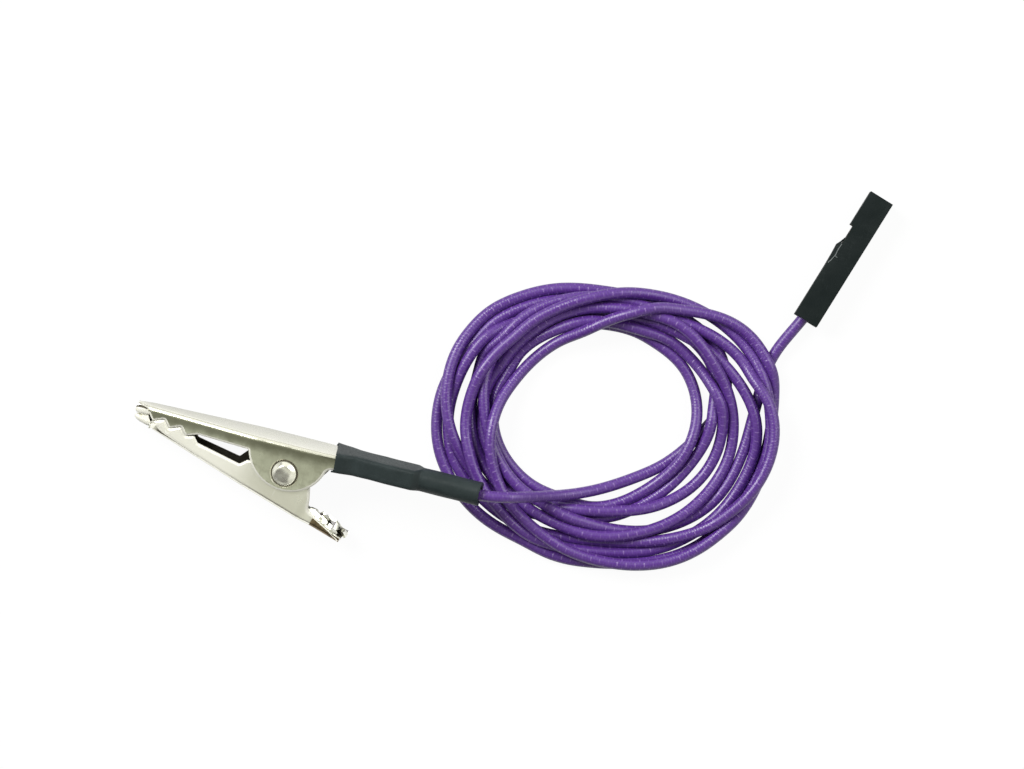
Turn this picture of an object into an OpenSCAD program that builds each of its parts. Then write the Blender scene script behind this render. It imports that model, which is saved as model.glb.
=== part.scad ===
// Alligator clip lead: a sprung sheet-metal clip, soldered and sleeved onto a coiled
// insulated wire that ends in a one-way crimp connector. Millimetres.
// The clip lies on its side, propped on its tip, a rivet head and the lower jaw's heel.

/* [Jaws] */
// Thickness of the jaws' sheet metal
sheet_t = 0.35; // [0.25:0.01:0.4]
// Distance from the rivet forward to the very tip
jaw_reach = 15.9; // [14:0.1:18]
// Distance from the rivet back to the tail's end
tail_reach = 12.1; // [10.8:0.1:12.6]
// Height of the upper jaw's back above the rivet axis
upper_back = 2.95; // [2.8:0.01:3.1]
// Depth of the lower jaw's back below the rivet axis, square to that back
lower_back = 3.19; // [3.1:0.01:3.4]
// Height from back to back at the tip of the closed jaws
tip_h = 1.21; // [1.15:0.01:1.3]
// Width across the jaws at the tip
tip_w = 2.0; // [1.7:0.05:2.3]
// Width across the upper jaw's ears
ear_w = 4.4; // [4.2:0.05:5]
// Width across the channel of the tail
tail_w = 2.8; // [2.6:0.05:3]
// Width across the lower jaw's thumb tab
tab_w = 2.7; // [2.5:0.05:2.9]
// Radius of the upper jaw's round ears
ear_r = 4.05; // [3.8:0.05:4.3]
// Radius of the lower jaw's ears about the rivet
lower_ear_r = 1.9; // [1.7:0.05:2.1]
// Outer radius of the bend along each jaw's back
bend_r = 0.5; // [0.4:0.02:0.6]

/* [Teeth] */
// Teeth on each jaw
tooth_count = 3; // [2:1:3]
// Distance from one tooth to the next
tooth_pitch = 1.8; // [1.6:0.05:1.85]
// Depth of a tooth
tooth_depth = 0.68; // [0.5:0.02:0.75]
// Play left between the closed jaws' teeth
tooth_play = 0.08; // [0.06:0.01:0.15]

/* [Pivot and spring] */
// Radius of the rivet's shank
rivet_r = 0.75; // [0.6:0.05:0.8]
// Play between the shank and the lower jaw, on the radius
rivet_play = 0.05; // [0.02:0.01:0.08]
// Radius of the rivet's domed heads
rivet_head_r = 1.18; // [1.1:0.02:1.3]
// Height of the domed heads above their seats
rivet_head_h = 0.5; // [0.4:0.05:0.7]
// Radius of the recess pressed round each rivet head
recess_r = 1.42; // [1.36:0.02:1.5]
// Depth of that recess
recess_h = 0.12; // [0.08:0.01:0.16]
// Play between the two jaws' ears, on each side
ear_play = 0.1; // [0.05:0.01:0.12]
// Diameter of the spring's wire
spring_wire_d = 0.4; // [0.3:0.02:0.42]
// Full turns of the spring's coil
spring_turns = 4; // [3:1:4]
// Play between the coil's inside and the rivet's shank
spring_play = 0.2; // [0.15:0.01:0.22]

/* [Sleeve] */
// Length of the shrink sleeve
sleeve_len = 14.55; // [13.5:0.05:16]
// Thickness of the sleeve where it hugs the tail
sleeve_t = 0.2; // [0.15:0.01:0.25]
// Outer diameter of the sleeve round the wire
sleeve_d = 2.3; // [2.1:0.05:2.5]
// Diameter of the sleeve's open end inside
sleeve_bore = 1.6; // [1.5:0.02:1.7]

/* [Wire] */
// Outer diameter of the wire's insulation
wire_d = 1.1; // [1:0.02:1.14]
// Diameter of the bundle of bared strands
strand_d = 0.6; // [0.45:0.05:0.65]
// Height of the coiled wire's heap
coil_h = 3.3; // [2.6:0.1:3.5]

/* [Connector] */
// Length of the connector's housing
plug_len = 14.0; // [13.8:0.05:14.4]
// Width and height of the housing
plug_w = 2.5; // [2.46:0.01:2.54]
// Thickness of the housing's walls
plug_wall = 0.3; // [0.26:0.01:0.32]
// Thickness of the wall round the pin's opening
plug_front_t = 0.8; // [0.6:0.05:1]
// Side of the square opening for the pin
pin_hole_w = 1.0; // [0.9:0.02:1.1]
// Distance from the front face back to the window
window_front = 3.75; // [3.5:0.05:4]
// Length of the window over the socket
window_len = 2.05; // [1.9:0.05:2.2]
// Length of the latch tongue behind the window
tongue_len = 3.2; // [3:0.05:3.4]
// Width of the window and of the latch tongue
tongue_w = 1.5; // [1.4:0.05:1.6]
// Width of the slits beside the tongue
slit_w = 0.14; // [0.1:0.01:0.16]

/* [Hidden] */

$fn = 48;
eps = 0.01;    // how far a cut runs past the face it opens
seat = 0.02;   // gap left between a filling and what it fills

// The clip's own frame: x back from the rivet along the upper jaw, y up to its back, z along the rivet.
// The clip rests rolled onto its side and nose down.
clip_roll = 14.5;
clip_pitch = 8;
rivet_at = [-1.35, 0.95, 2.69];

// Angle between the two backs when the jaws are closed, from the height that they leave at the tip
jaw_angle = asin((upper_back - tip_h) / norm([jaw_reach, lower_back])) + atan2(lower_back, jaw_reach);

// Widths at stations along a jaw: half of the width, as the metal is bent
ear_front = -3.4;             // where the ears' full width begins
ear_back = 3.4;               // where it ends
tail_start = 6.0;             // where the tail's channel has its full length of even width
sleeve_start = 4.3;           // where the sleeve begins
flare_half = ear_w / 2 - 0.35; // half width of the upper jaw where it runs into the sleeve
nose_gap = 1.0;               // how far the side walls stay back from the tip
lower_half = ear_w / 2 - sheet_t - ear_play;

// Half widths of the upper jaw, as [x, half width]
upper_plan = [[-jaw_reach + 0.3, tip_w / 2], [ear_front, ear_w / 2], [ear_back, ear_w / 2],
              [sleeve_start, flare_half], [tail_start, tail_w / 2], [tail_reach, tail_w / 2]];
// Half widths of the lower jaw along its own back
heel_x = 4.4;                 // where the lower jaw has narrowed to its thumb tab
tab_end = 7.9;                // end of the thumb tab's sheet
lower_plan = [[-jaw_reach + 0.3, tip_w / 2], [ear_front, lower_half], [heel_x - 1, lower_half],
              [heel_x, tab_w / 2], [tab_end, tab_w / 2]];

// The line along which the teeth meet, halfway between the two backs
bite_angle = -jaw_angle / 2;
bite_back = 3.6;              // from the tip back to a point on that line
bite_drop = 1.33;             // from the upper back down to it
bite_at = [bite_back - jaw_reach, upper_back - bite_drop];
bite_x = [cos(bite_angle), sin(bite_angle)];
bite_y = [-sin(bite_angle), cos(bite_angle)];
tooth_start = -2.35;          // first root, measured along the bite line from bite_at
tooth_steep = 0.4;            // share of the pitch that the steep front of a tooth takes

// The ears' arc and the tail
ear_at = [0.05, 2.28];
channel_depth = 1.5;          // depth of the tail's channel
tail_edge = upper_back - channel_depth;
tail_fillet = 0.7;            // fillet between an ear and the tail's edge
jaw_edge = [-4.04, 1.44];     // where the upper jaw's edge meets its ear

function bite(s, t) = bite_at + s * bite_x + t * bite_y;

// The zigzag of the teeth from front to back, moved off the bite line by t
function teeth(t) = [for (i = [0:tooth_count - 1], end = [0, 1])
    bite(tooth_start + (i + end * tooth_steep) * tooth_pitch, t + (0.5 - end) * tooth_depth)];
tooth_end = tooth_start + tooth_count * tooth_pitch;
last_root = 0.42;             // height of the root behind the last tooth, as a share of the depth

// Faces between ring k and ring m, each of n points
function band(k, m, n) = [for (i = [0:n - 1])
    [k * n + i, k * n + (i + 1) % n, m * n + (i + 1) % n, m * n + i]];

// A solid skinned over a list of rings that all have the same number of points, with flat ends
module loft(rings) {
    n = len(rings[0]);
    last = len(rings) - 1;
    polyhedron(
        points = [for (ring = rings) each ring],
        faces = concat([[for (i = [n - 1:-1:0]) i]],
                       [for (k = [0:last - 1]) each band(k, k + 1, n)],
                       [[for (i = [0:n - 1]) last * n + i]]),
        convexity = 6);
}

// The same over a closed loop of rings, where the last one joins the first
module wrap(rings) {
    last = len(rings) - 1;
    polyhedron(
        points = [for (ring = rings) each ring],
        faces = [for (k = [0:last]) each band(k, (k + 1) % (last + 1), len(rings[0]))],
        convexity = 6);
}

// A ring round a bent channel: flat back at y = top with rounded corners, open side cut off at y = low
bend_steps = 5;
function channel_ring(x, half, top, low, r) = concat(
    [[x, low, half]],
    [for (i = [0:bend_steps]) let (a = 90 * i / bend_steps)
        [x, top - r + r * sin(a), half - r + r * cos(a)]],
    [for (i = [bend_steps:-1:0]) let (a = 90 * i / bend_steps)
        [x, top - r + r * sin(a), -half + r - r * cos(a)]],
    [[x, low, -half]]);

// The bent sheet of a jaw before its outline is cut: a channel that follows the plan's half widths
module bent_sheet(plan, top) {
    low = -6;
    last = len(plan) - 1;
    difference() {
        loft([for (p = plan) channel_ring(p[0], p[1], top, low, bend_r)]);
        loft([for (i = [0:last]) let (x = plan[i][0] + (i == 0 ? -eps : i == last ? eps : 0))
            channel_ring(x, plan[i][1] - sheet_t, top - sheet_t, low - eps, bend_r - sheet_t + 0.05)]);
    }
}

// ---- Upper jaw -------------------------------------------------------------------------------

// Side view of the upper jaw: toothed edge, straight edge, round ear, fillet and tail
module upper_outline() {
    top = upper_back + 1;
    polygon(concat(
        [[-jaw_reach + nose_gap, top], [-jaw_reach + nose_gap, upper_back - bend_r]],
        teeth(tooth_play / 2),
        [bite(tooth_end, last_root * tooth_depth + tooth_play / 2), jaw_edge,
         [ear_at[0], jaw_edge[1]], [sleeve_start, ear_at[1]],
         [sleeve_start, tail_edge], [tail_reach, tail_edge], [tail_reach, top]]));
    translate(ear_at) intersection() {
        circle(ear_r);
        translate([-ear_r, -ear_r]) square([2 * ear_r, ear_r]);
    }
    ear_fillet();
}

// Where the ear's arc runs into the tail's edge
module ear_fillet() {
    drop = ear_at[1] - tail_edge + tail_fillet;
    run = sqrt(pow(ear_r + tail_fillet, 2) - drop * drop);
    centre = ear_at + [run, -drop];
    difference() {
        polygon([ear_at, ear_at + ear_r / (ear_r + tail_fillet) * [run, -drop],
                 centre, [centre[0], tail_edge], [centre[0], ear_at[1]]]);
        translate(centre) circle(tail_fillet);
    }
}

// The tip, curled over into a smooth nose of the given height, with rounded corners
nose_corner = 0.45;           // radius of the nose's corners
nose_plate = nose_gap + 0.6;  // how far the nose's plate runs back into the jaw
lower_gap = nose_gap + 0.35;  // how far the lower jaw's side walls stay back from the tip
module nose(top, height) {
    r = height / 2;
    half = tip_w / 2 - 0.08;
    intersection() {
        union() {
            translate([-jaw_reach + r, top - r, -half]) cylinder(r = r, h = 2 * half);
            translate([-jaw_reach + r, top - sheet_t, -half]) cube([nose_plate, sheet_t, 2 * half]);
        }
        rotate([90, 0, 0]) translate([0, 0, -2 * lower_back]) linear_extrude(4 * lower_back) {
            translate([-jaw_reach, nose_corner - half]) square([2, 2 * (half - nose_corner)]);
            translate([nose_corner - jaw_reach, -half]) square([2, 2 * half]);
            for (side = [-1, 1])
                translate([nose_corner - jaw_reach, side * (half - nose_corner)]) circle(nose_corner);
        }
    }
}

// Height of each nose, so that the closed tips almost meet on the bite line
tip_bite = bite(-3.2, 0);
upper_nose_h = upper_back - tip_bite[1] - tooth_play / 2;
lower_nose_h = 0.5;

module upper_jaw_in_clip() {
    difference() {
        union() {
            intersection() {
                bent_sheet(upper_plan, upper_back);
                translate([0, 0, -ear_w]) linear_extrude(2 * ear_w) upper_outline();
            }
            nose(upper_back, upper_nose_h);
        }
        translate([0, 0, -ear_w]) cylinder(r = rivet_r + seat, h = 2 * ear_w);
        for (side = [0, 1]) mirror([0, 0, side])
            translate([0, 0, ear_w / 2 - recess_h]) cylinder(r = recess_r, h = 1);
    }
}

// ---- Lower jaw -------------------------------------------------------------------------------

// From the lower jaw's own frame (x along its back, y down to it) to the clip's
module lower_frame() { rotate([0, 0, -jaw_angle]) mirror([0, 1, 0]) children(); }
function from_lower(p) = [p[0] * cos(jaw_angle) - p[1] * sin(jaw_angle),
                          -p[0] * sin(jaw_angle) - p[1] * cos(jaw_angle)];

// Side window: its two front corners, along and off the bite line from the last root, and then
// its two back corners, in front of the ear
window_front_at = [[-0.3, -0.02], [0.25, -0.54]];
window_back_at = [[-4.28, 1.70], [-3.82, 0.96]];
window_lip = 0.1;             // drop of the edge from the last root to the window
// Back edge of the lower jaw's wall, then the ridge of the thumb tab and the tab's slanted end
wall_back = [[2.83, 0.09], [3.62, 1.7]];
tab_ridge = [[3.85, 1.9], [6.4, 2.42], [7.5, 2.66]];
tab_back = [[7.77, 2.85], [7.72, 4.2]];

// Side view of the lower jaw in the clip's frame
module lower_outline() {
    deep = 1.2;
    polygon(concat(
        [from_lower([-jaw_reach + lower_gap, lower_back + deep]),
         from_lower([-jaw_reach + lower_gap, lower_back - bend_r])],
        teeth(-tooth_play / 2),
        [bite(tooth_end, last_root * tooth_depth - tooth_play / 2 - window_lip)],
        [for (p = window_front_at) bite(tooth_end + p[0], p[1])],
        [for (p = window_back_at) from_lower(p)],
        [from_lower([-lower_ear_r, 0])],
        [for (a = [170:-5:10]) lower_ear_r * [cos(a - jaw_angle), sin(a - jaw_angle)]],
        [for (p = wall_back) from_lower(p)],
        [for (p = tab_ridge) from_lower(p)],
        [for (p = tab_back) from_lower(p)],
        [from_lower([3, lower_back + deep])]));
}

// The tab's crimp wings, squeezed flat over it and creased: at each station [x, depth where the wing
// leaves the tab's ridge, depth of its fold, depth of its free edge, how far that edge is off the middle]
front_wing = [[4.3, 2.02, 1.9, 2.2, 0.12], [5, 2.16, 1.86, 2.42, 0.34], [5.7, 2.3, 2.1, 2.24, 0.08],
              [6.5, 2.46, 2.24, 2.6, 0.3]];
rear_wing = [[4.6, 2.08, 1.84, 2.3, 0.16], [5.4, 2.24, 2.02, 2.06, 0.3], [6.2, 2.4, 2.0, 2.5, 0.1],
             [7.1, 2.58, 2.22, 2.36, 0.3], [8, 2.76, 2.5, 2.9, 0.2]];
wing_root = 0.25;             // how deep a wing is rooted in the tab's wall
wing_knee = 0.33;             // from the wall's face in to the fold

// One wing, a creased plate that leans in from one side wall
module folded_wing(creases) {
    wall = tab_w / 2 - seat;
    knee = wall - wing_knee;
    loft([for (c = creases) let (x = c[0])
        [[x, c[1], wall], [x, c[1] + wing_root, wall], [x, c[2] + sheet_t, knee - 0.1],
         [x, c[3], c[4]], [x, c[3] - sheet_t, c[4]], [x, c[2], knee]]]);
}

module lower_jaw_in_clip() {
    difference() {
        union() {
            intersection() {
                lower_frame() bent_sheet(lower_plan, lower_back);
                translate([0, 0, -ear_w]) linear_extrude(2 * ear_w) lower_outline();
            }
            lower_frame() {
                folded_wing(front_wing);
                mirror([0, 0, 1]) folded_wing(rear_wing);
                nose(lower_back, lower_nose_h);
            }
        }
        translate([0, 0, -ear_w]) cylinder(r = rivet_r + rivet_play, h = 2 * ear_w);
    }
}

// ---- Rivet, spring and what the tail holds ---------------------------------------------------

module pivot_rivet_in_clip() {
    seat_z = ear_w / 2 - recess_h;
    translate([0, 0, -seat_z]) cylinder(r = rivet_r, h = 2 * seat_z);
    ball_r = (rivet_head_r * rivet_head_r + rivet_head_h * rivet_head_h) / (2 * rivet_head_h);
    for (side = [0, 1]) mirror([0, 0, side])
        intersection() {
            translate([0, 0, seat_z + rivet_head_h - ball_r]) sphere(ball_r);
            translate([0, 0, seat_z]) cylinder(r = rivet_head_r, h = 2);
        }
}

coil_r = rivet_r + spring_play + spring_wire_d / 2;
spring_pitch = spring_wire_d + 0.06;
leg_room = 0.03;
// Where each leg's end presses: on the inside of the upper back, and of the lower back
upper_leg = [6.2, upper_back - sheet_t - leg_room - spring_wire_d / 2];
lower_leg = from_lower([3.9, lower_back - sheet_t - leg_room - spring_wire_d / 2]);
function tangent_at(p, side) = atan2(p[1], p[0]) + side * acos(coil_r / norm(p));
spring_from = tangent_at(upper_leg, 1);
spring_sweep = tangent_at(lower_leg, -1) - spring_from + 360 * (spring_turns + 1);
spring_half = spring_sweep / 360 * spring_pitch / 2;
leg_side = 0.6;               // how far each leg's end lies to its side of the clip's middle
spring_steps = 12 * spring_turns + 5;
spring_path = concat(
    [[upper_leg[0], upper_leg[1], -leg_side]],
    [for (i = [0:spring_steps]) let (a = spring_from + spring_sweep * i / spring_steps)
        [coil_r * cos(a), coil_r * sin(a), -spring_half + 2 * spring_half * i / spring_steps]],
    [[lower_leg[0], lower_leg[1], leg_side]]);

function unit(v) = v / norm(v);
// Direction of a path at point i
function heading(path, i) = unit(path[min(i + 1, len(path) - 1)] - path[max(i - 1, 0)]);
// A round ring of n points at point i of a path, standing square to it
function round_ring(path, i, r, n, up) =
    let (t = heading(path, i), s = unit(cross(up, t)), u = cross(t, s))
    [for (k = [0:n - 1]) let (a = 360 * (k + 0.5) / n) path[i] + r * (cos(a) * s - sin(a) * u)];
module tube(path, r, n, up = [0, 0, 1]) {
    loft([for (i = [0:len(path) - 1]) round_ring(path, i, r, n, up)]);
}

module torsion_spring_in_clip() { tube(spring_path, spring_wire_d / 2, 8); }

// The bared wire lies in the tail's channel, sunk in solder
wire_y = 2.0;                 // height of the wire's axis in the sleeve
strip_back = 0.8;             // how far inside the tail's end the insulation ends
strand_len = 3.7;             // length of the bared strands
solder_lap = [0.4, 0.7];      // solder in front of the strands' ends, and strands bare behind it
strip_x = tail_reach - strip_back;
strand_front = strip_x - strand_len;
solder_front = strand_front - solder_lap[0];
solder_back = strip_x - solder_lap[1];

module solder_joint_in_clip() {
    half = tail_w / 2 - sheet_t - seat;
    difference() {
        translate([solder_front, tail_edge + 0.1, -half])
            cube([solder_back - solder_front, channel_depth - sheet_t - seat - 0.1, 2 * half]);
        translate([strand_front - seat, wire_y, 0]) rotate([0, 90, 0])
            cylinder(d = strand_d + 2 * seat, h = strip_x);
        for (side = [-1, 1]) translate([0, upper_back - sheet_t, side * half])
            rotate([side > 0 ? 45 : -45, 0, 0]) cube([4 * tail_reach, 0.5, 0.5], center = true);
    }
}

module clip_end_strands_in_clip() {
    translate([strand_front, wire_y, 0]) rotate([0, 90, 0])
        cylinder(d = strand_d, h = strip_x - strand_front);
}

// ---- Shrink sleeve ---------------------------------------------------------------------------

sleeve_mid = (upper_back + tail_edge) / 2;   // height of the sleeve's axis
shrink_from = tail_reach + 0.15;             // where the sleeve starts to close in behind the tail
shrink_to = tail_reach + 0.95;               // where it is round
sleeve_end = sleeve_start + sleeve_len;
sleeve_points = 32;

// A ring between a rounded box (soft = 0) and a circle (soft = 1), half sizes hy and hz
function soft_ring(x, hy, hz, power) = [for (k = [0:sleeve_points - 1])
    let (a = 360 * (k + 0.5) / sleeve_points, c = cos(a), s = sin(a))
    [x, sleeve_mid + hy * sign(c) * pow(abs(c), 2 / power), -hz * sign(s) * pow(abs(s), 2 / power)]];

// Rings of the sleeve's inner or outer skin, from the clip to its open end. They lie t outside the
// tail and shrink to round_r behind it; corner is how square their corners are.
function sleeve_rings(t, round_r, corner) =
    let (hy = channel_depth / 2 + t, hz = tail_w / 2 + t)
    [soft_ring(sleeve_start, hy, flare_half + t, corner),
     soft_ring(tail_start, hy, hz, corner),
     soft_ring(shrink_from, hy, hz, corner),
     soft_ring((shrink_from + shrink_to) / 2, (hy + round_r) / 2, (hz + round_r) / 2, corner / 2 + 1),
     soft_ring(shrink_to, round_r, round_r, 2),
     soft_ring(sleeve_end, round_r, round_r, 2)];
function reversed(list) = [for (i = [len(list) - 1:-1:0]) list[i]];

hug = 0.06;                   // gap between the sleeve and the tail
outer_power = 8;              // squareness of the sleeve's corners outside
inner_power = 24;             // and inside
module shrink_sleeve_in_clip() {
    wrap(concat(sleeve_rings(hug + sleeve_t, sleeve_d / 2, outer_power),
                reversed(sleeve_rings(hug, sleeve_bore / 2, inner_power))));
}

// ---- Wire ------------------------------------------------------------------------------------

// A point of the clip's frame where the clip lies
function from_clip(p) =
    let (y = p[1] * cos(clip_roll) - p[2] * sin(clip_roll),
         z = p[1] * sin(clip_roll) + p[2] * cos(clip_roll))
    rivet_at + [p[0] * cos(clip_pitch) - z * sin(clip_pitch), y,
                p[0] * sin(clip_pitch) + z * cos(clip_pitch)];

// Route of the wire from the clip to the coil, and from the coil into the connector
lead_in = [from_clip([strip_x, wire_y, 0]), [12, 2.89, 5.07], [14.5, 2.89, 5.42], [17.1, 2.9, 5.79],
           [18.4, 3.05, 5.93], [20, 3.4, 5.85], [21.8, 3.9, 5.5], [23.6, 4.4, 4.8], [25.4, 4.9, 3.8],
           [27, 5.55, 2.7], [28.6, 6.3, 1.8], [30.2, 7.3, 1.1], [31.8, 8.4, 0.7], [33.4, 9.5, 0.6],
           [34.9, 10.8, 0.6], [35.9, 11.9, 0.6]];
lead_out = [[41.1, 21.45, 0.6], [41.4, 22.75, 0.65], [42, 24.05, 0.8], [42.7, 25.45, 1.1],
            [43.53, 27.1, 1.25], [44.13, 28.36, 1.25], [44.5, 29.5, 1.25], [44.87, 30.65, 1.25]];

wire_sides = 8;
module wire_lead_in() { color("mediumpurple") tube(lead_in, wire_d / 2, wire_sides); }
module wire_lead_out() { color("mediumpurple") tube(lead_out, wire_d / 2, wire_sides); }

// The coil: an oval heap of turns, higher in the middle of its band than at its rims
coil_at = [27.5, 12.3];
coil_tilt = 14;
coil_outer = [17.2, 14.0];
coil_inner = [9.1, 8.1];
coil_inner_at = [-0.6, 0.4];
coil_steps = 48;
// Section of the heap, as [share of the way from inside to outside, share of the height]
heap = [[0.08, 0], [0, 0.16], [0.07, 0.45], [0.25, 0.85], [0.5, 1], [0.75, 0.85], [0.95, 0.45],
        [1, 0.16], [0.95, 0]];
function coil_ring(a) =
    let (outer = [coil_outer[0] * cos(a), coil_outer[1] * sin(a)],
         inner = coil_inner_at + [coil_inner[0] * cos(a), coil_inner[1] * sin(a)])
    [for (p = heap) let (q = inner + p[0] * (outer - inner)) [q[0], q[1], p[1] * coil_h]];

module wire_coil() {
    color("mediumpurple") translate(coil_at) rotate([0, 0, coil_tilt])
        wrap([for (i = [0:coil_steps - 1]) coil_ring(-360 * i / coil_steps)]);
}

// ---- Connector -------------------------------------------------------------------------------

// The connector's own frame: x from the wire's end to the pin's end, z out of the window
plug_at = [43.8, 27];
plug_angle = 72.1;
cavity = plug_w - 2 * plug_wall;
wire_off = 0.1;               // how far the wire runs off the housing's axis, to the window side

module plug_frame() {
    translate([plug_at[0], plug_at[1], plug_w / 2]) rotate([0, 0, plug_angle]) rotate([-90, 0, 0])
        children();
}
module bar(x0, x1, w, h) { translate([x0, -w / 2, -h / 2]) cube([x1 - x0, w, h]); }

module connector_housing() {
    window_x = plug_len - window_front;
    color("#20282a") plug_frame() difference() {
        bar(0, plug_len, plug_w, plug_w);
        bar(-eps, plug_len - plug_front_t, cavity, cavity);
        bar(0, plug_len + eps, pin_hole_w, pin_hole_w);
        // lead-in round the pin's opening
        translate([plug_len, 0, 0]) rotate([0, 90, 0]) rotate([0, 0, 45])
            cylinder(r1 = pin_hole_w / sqrt(2) - 0.1, r2 = pin_hole_w / sqrt(2) + 0.2, h = 0.6,
                     center = true, $fn = 4);
        // window over the socket, a notch right across the wall
        translate([window_x - window_len, -plug_w, cavity / 2 - seat])
            cube([window_len, 2 * plug_w, plug_w]);
        // slits that free the latch tongue
        for (side = [-1, 1])
            translate([window_x - window_len - tongue_len, side * (tongue_w + slit_w) / 2 - slit_w / 2, 0])
                cube([tongue_len + eps, slit_w, plug_w]);
    }
}

contact_t = 0.2;              // thickness of the socket's sheet metal
contact_w = cavity - 0.15;    // outside of the socket's box, which slides in the housing
box_back = 7.0;               // back of the socket's box
box_front = 13.0;             // front of the socket's box
strand_grip = [4.1, 5.9];     // crimp round the strands
sheath_grip = [1.6, 3.4];     // crimp round the insulation
strand_ends = [3.9, 6.2];     // the bared strands, from the insulation to their ends
neck_w = 0.8;                 // width of the strip between the box and the crimps

// A crimp barrel round the wire, open by a narrow seam
module barrel(span, r) {
    translate([span[0], 0, wire_off]) rotate([0, 90, 0]) difference() {
        cylinder(r = r + contact_t, h = span[1] - span[0]);
        translate([0, 0, -1]) cylinder(r = r, h = span[1] - span[0] + 2);
        translate([-2, -0.05, -1]) cube([2, 0.1, span[1] - span[0] + 2]);
    }
}

// The strip that joins the socket's box to its two crimps, bent up under the thinner one
module contact_neck() {
    low = -contact_w / 2;
    under_strands = wire_off - strand_d / 2 - seat - contact_t / 2;
    under_sheath = wire_off - wire_d / 2 - seat - contact_t / 2;
    rise = [[sheath_grip[0], under_sheath], [sheath_grip[1], under_sheath],
            [strand_grip[0], under_strands], [strand_grip[1], under_strands],
            [box_back, low + contact_t], [box_back + 0.2, low + contact_t]];
    translate([0, neck_w / 2, 0]) rotate([90, 0, 0]) linear_extrude(neck_w)
        polygon(concat([for (p = rise) [p[0], p[1]]],
                       [for (p = reversed(rise)) [p[0], p[1] - contact_t]]));
}

module socket_contact() {
    color("#c9b27a") plug_frame() {
        difference() {
            bar(box_back, box_front, contact_w, contact_w);
            bar(box_back - eps, box_front + eps, contact_w - 2 * contact_t, contact_w - 2 * contact_t);
        }
        contact_neck();
        barrel(strand_grip, strand_d / 2 + seat);
        barrel(sheath_grip, wire_d / 2 + seat);
    }
}

module contact_end_strands() {
    color("peru") plug_frame() translate([strand_ends[0], 0, wire_off]) rotate([0, 90, 0])
        cylinder(d = strand_d, h = strand_ends[1] - strand_ends[0]);
}

// ---- The clip's pieces where they lie --------------------------------------------------------

module clip_frame() { translate(rivet_at) rotate([clip_roll, -clip_pitch, 0]) children(); }
module upper_jaw() { color("#d9d6c4") clip_frame() upper_jaw_in_clip(); }
module lower_jaw() { color("#cfcbb6") clip_frame() lower_jaw_in_clip(); }
module pivot_rivet() { color("#e6e3d4") clip_frame() pivot_rivet_in_clip(); }
module torsion_spring() { color("#8f9088") clip_frame() torsion_spring_in_clip(); }
module solder_joint() { color("#b9bbb8") clip_frame() solder_joint_in_clip(); }
module clip_end_strands() { color("#b98a5a") clip_frame() clip_end_strands_in_clip(); }
module shrink_sleeve() { color("#2b3234") clip_frame() shrink_sleeve_in_clip(); }

upper_jaw();
lower_jaw();
pivot_rivet();
torsion_spring();
solder_joint();
clip_end_strands();
shrink_sleeve();
wire_lead_in();
wire_coil();
wire_lead_out();
connector_housing();
socket_contact();
contact_end_strands();
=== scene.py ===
"""Dresses the alligator clip lead's frame: each piece is modelled in mm and set down in metres."""

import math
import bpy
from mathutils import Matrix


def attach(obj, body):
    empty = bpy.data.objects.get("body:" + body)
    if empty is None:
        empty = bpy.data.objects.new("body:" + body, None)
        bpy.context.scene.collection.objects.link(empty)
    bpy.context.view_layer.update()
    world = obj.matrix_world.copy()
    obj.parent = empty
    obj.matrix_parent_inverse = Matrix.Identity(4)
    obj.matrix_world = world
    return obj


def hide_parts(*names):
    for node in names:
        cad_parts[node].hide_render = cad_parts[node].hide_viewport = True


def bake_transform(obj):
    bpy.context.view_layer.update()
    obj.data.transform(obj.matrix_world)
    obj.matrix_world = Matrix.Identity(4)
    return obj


bl_info = {
    "name": "Alligator clip lead",
    "version": (1, 0, 0),
    "blender": (4, 5, 0),
    "location": "3D View > Sidebar > Clip lead",
    "description": "Builds the finished pieces of an alligator clip lead on its packed frame",
    "category": "Object",
}

import bmesh
import bpy
import numpy as np
from mathutils import Matrix, Vector, noise

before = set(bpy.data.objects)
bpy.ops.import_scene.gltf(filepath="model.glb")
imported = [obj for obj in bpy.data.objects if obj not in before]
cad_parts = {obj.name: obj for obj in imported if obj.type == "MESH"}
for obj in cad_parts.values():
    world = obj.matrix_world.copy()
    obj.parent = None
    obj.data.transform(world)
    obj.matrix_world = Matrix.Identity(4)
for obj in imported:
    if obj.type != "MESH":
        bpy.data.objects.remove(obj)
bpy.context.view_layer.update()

MM = 0.001
UPPER, LOWER = "upper_half", "lower_half"


# ---- Sizes and colours that a user would change ---------------------------------------------

def length(name, description, default, low, high):
    """A length in millimetres."""
    return bpy.props.FloatProperty(name=name, description=description + " in mm", default=default,
                                   min=low, max=high, precision=3, unit="NONE")


def colour(name, description, default):
    """A linear colour."""
    return bpy.props.FloatVectorProperty(name=name, description=description, default=default,
                                         size=3, min=0.0, max=1.0, subtype="COLOR")


def angle(name, description, degrees):
    """An angle, typed in degrees."""
    return bpy.props.FloatProperty(name=name, description=description,
                                   default=math.radians(degrees), subtype="ANGLE", unit="ROTATION")


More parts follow.
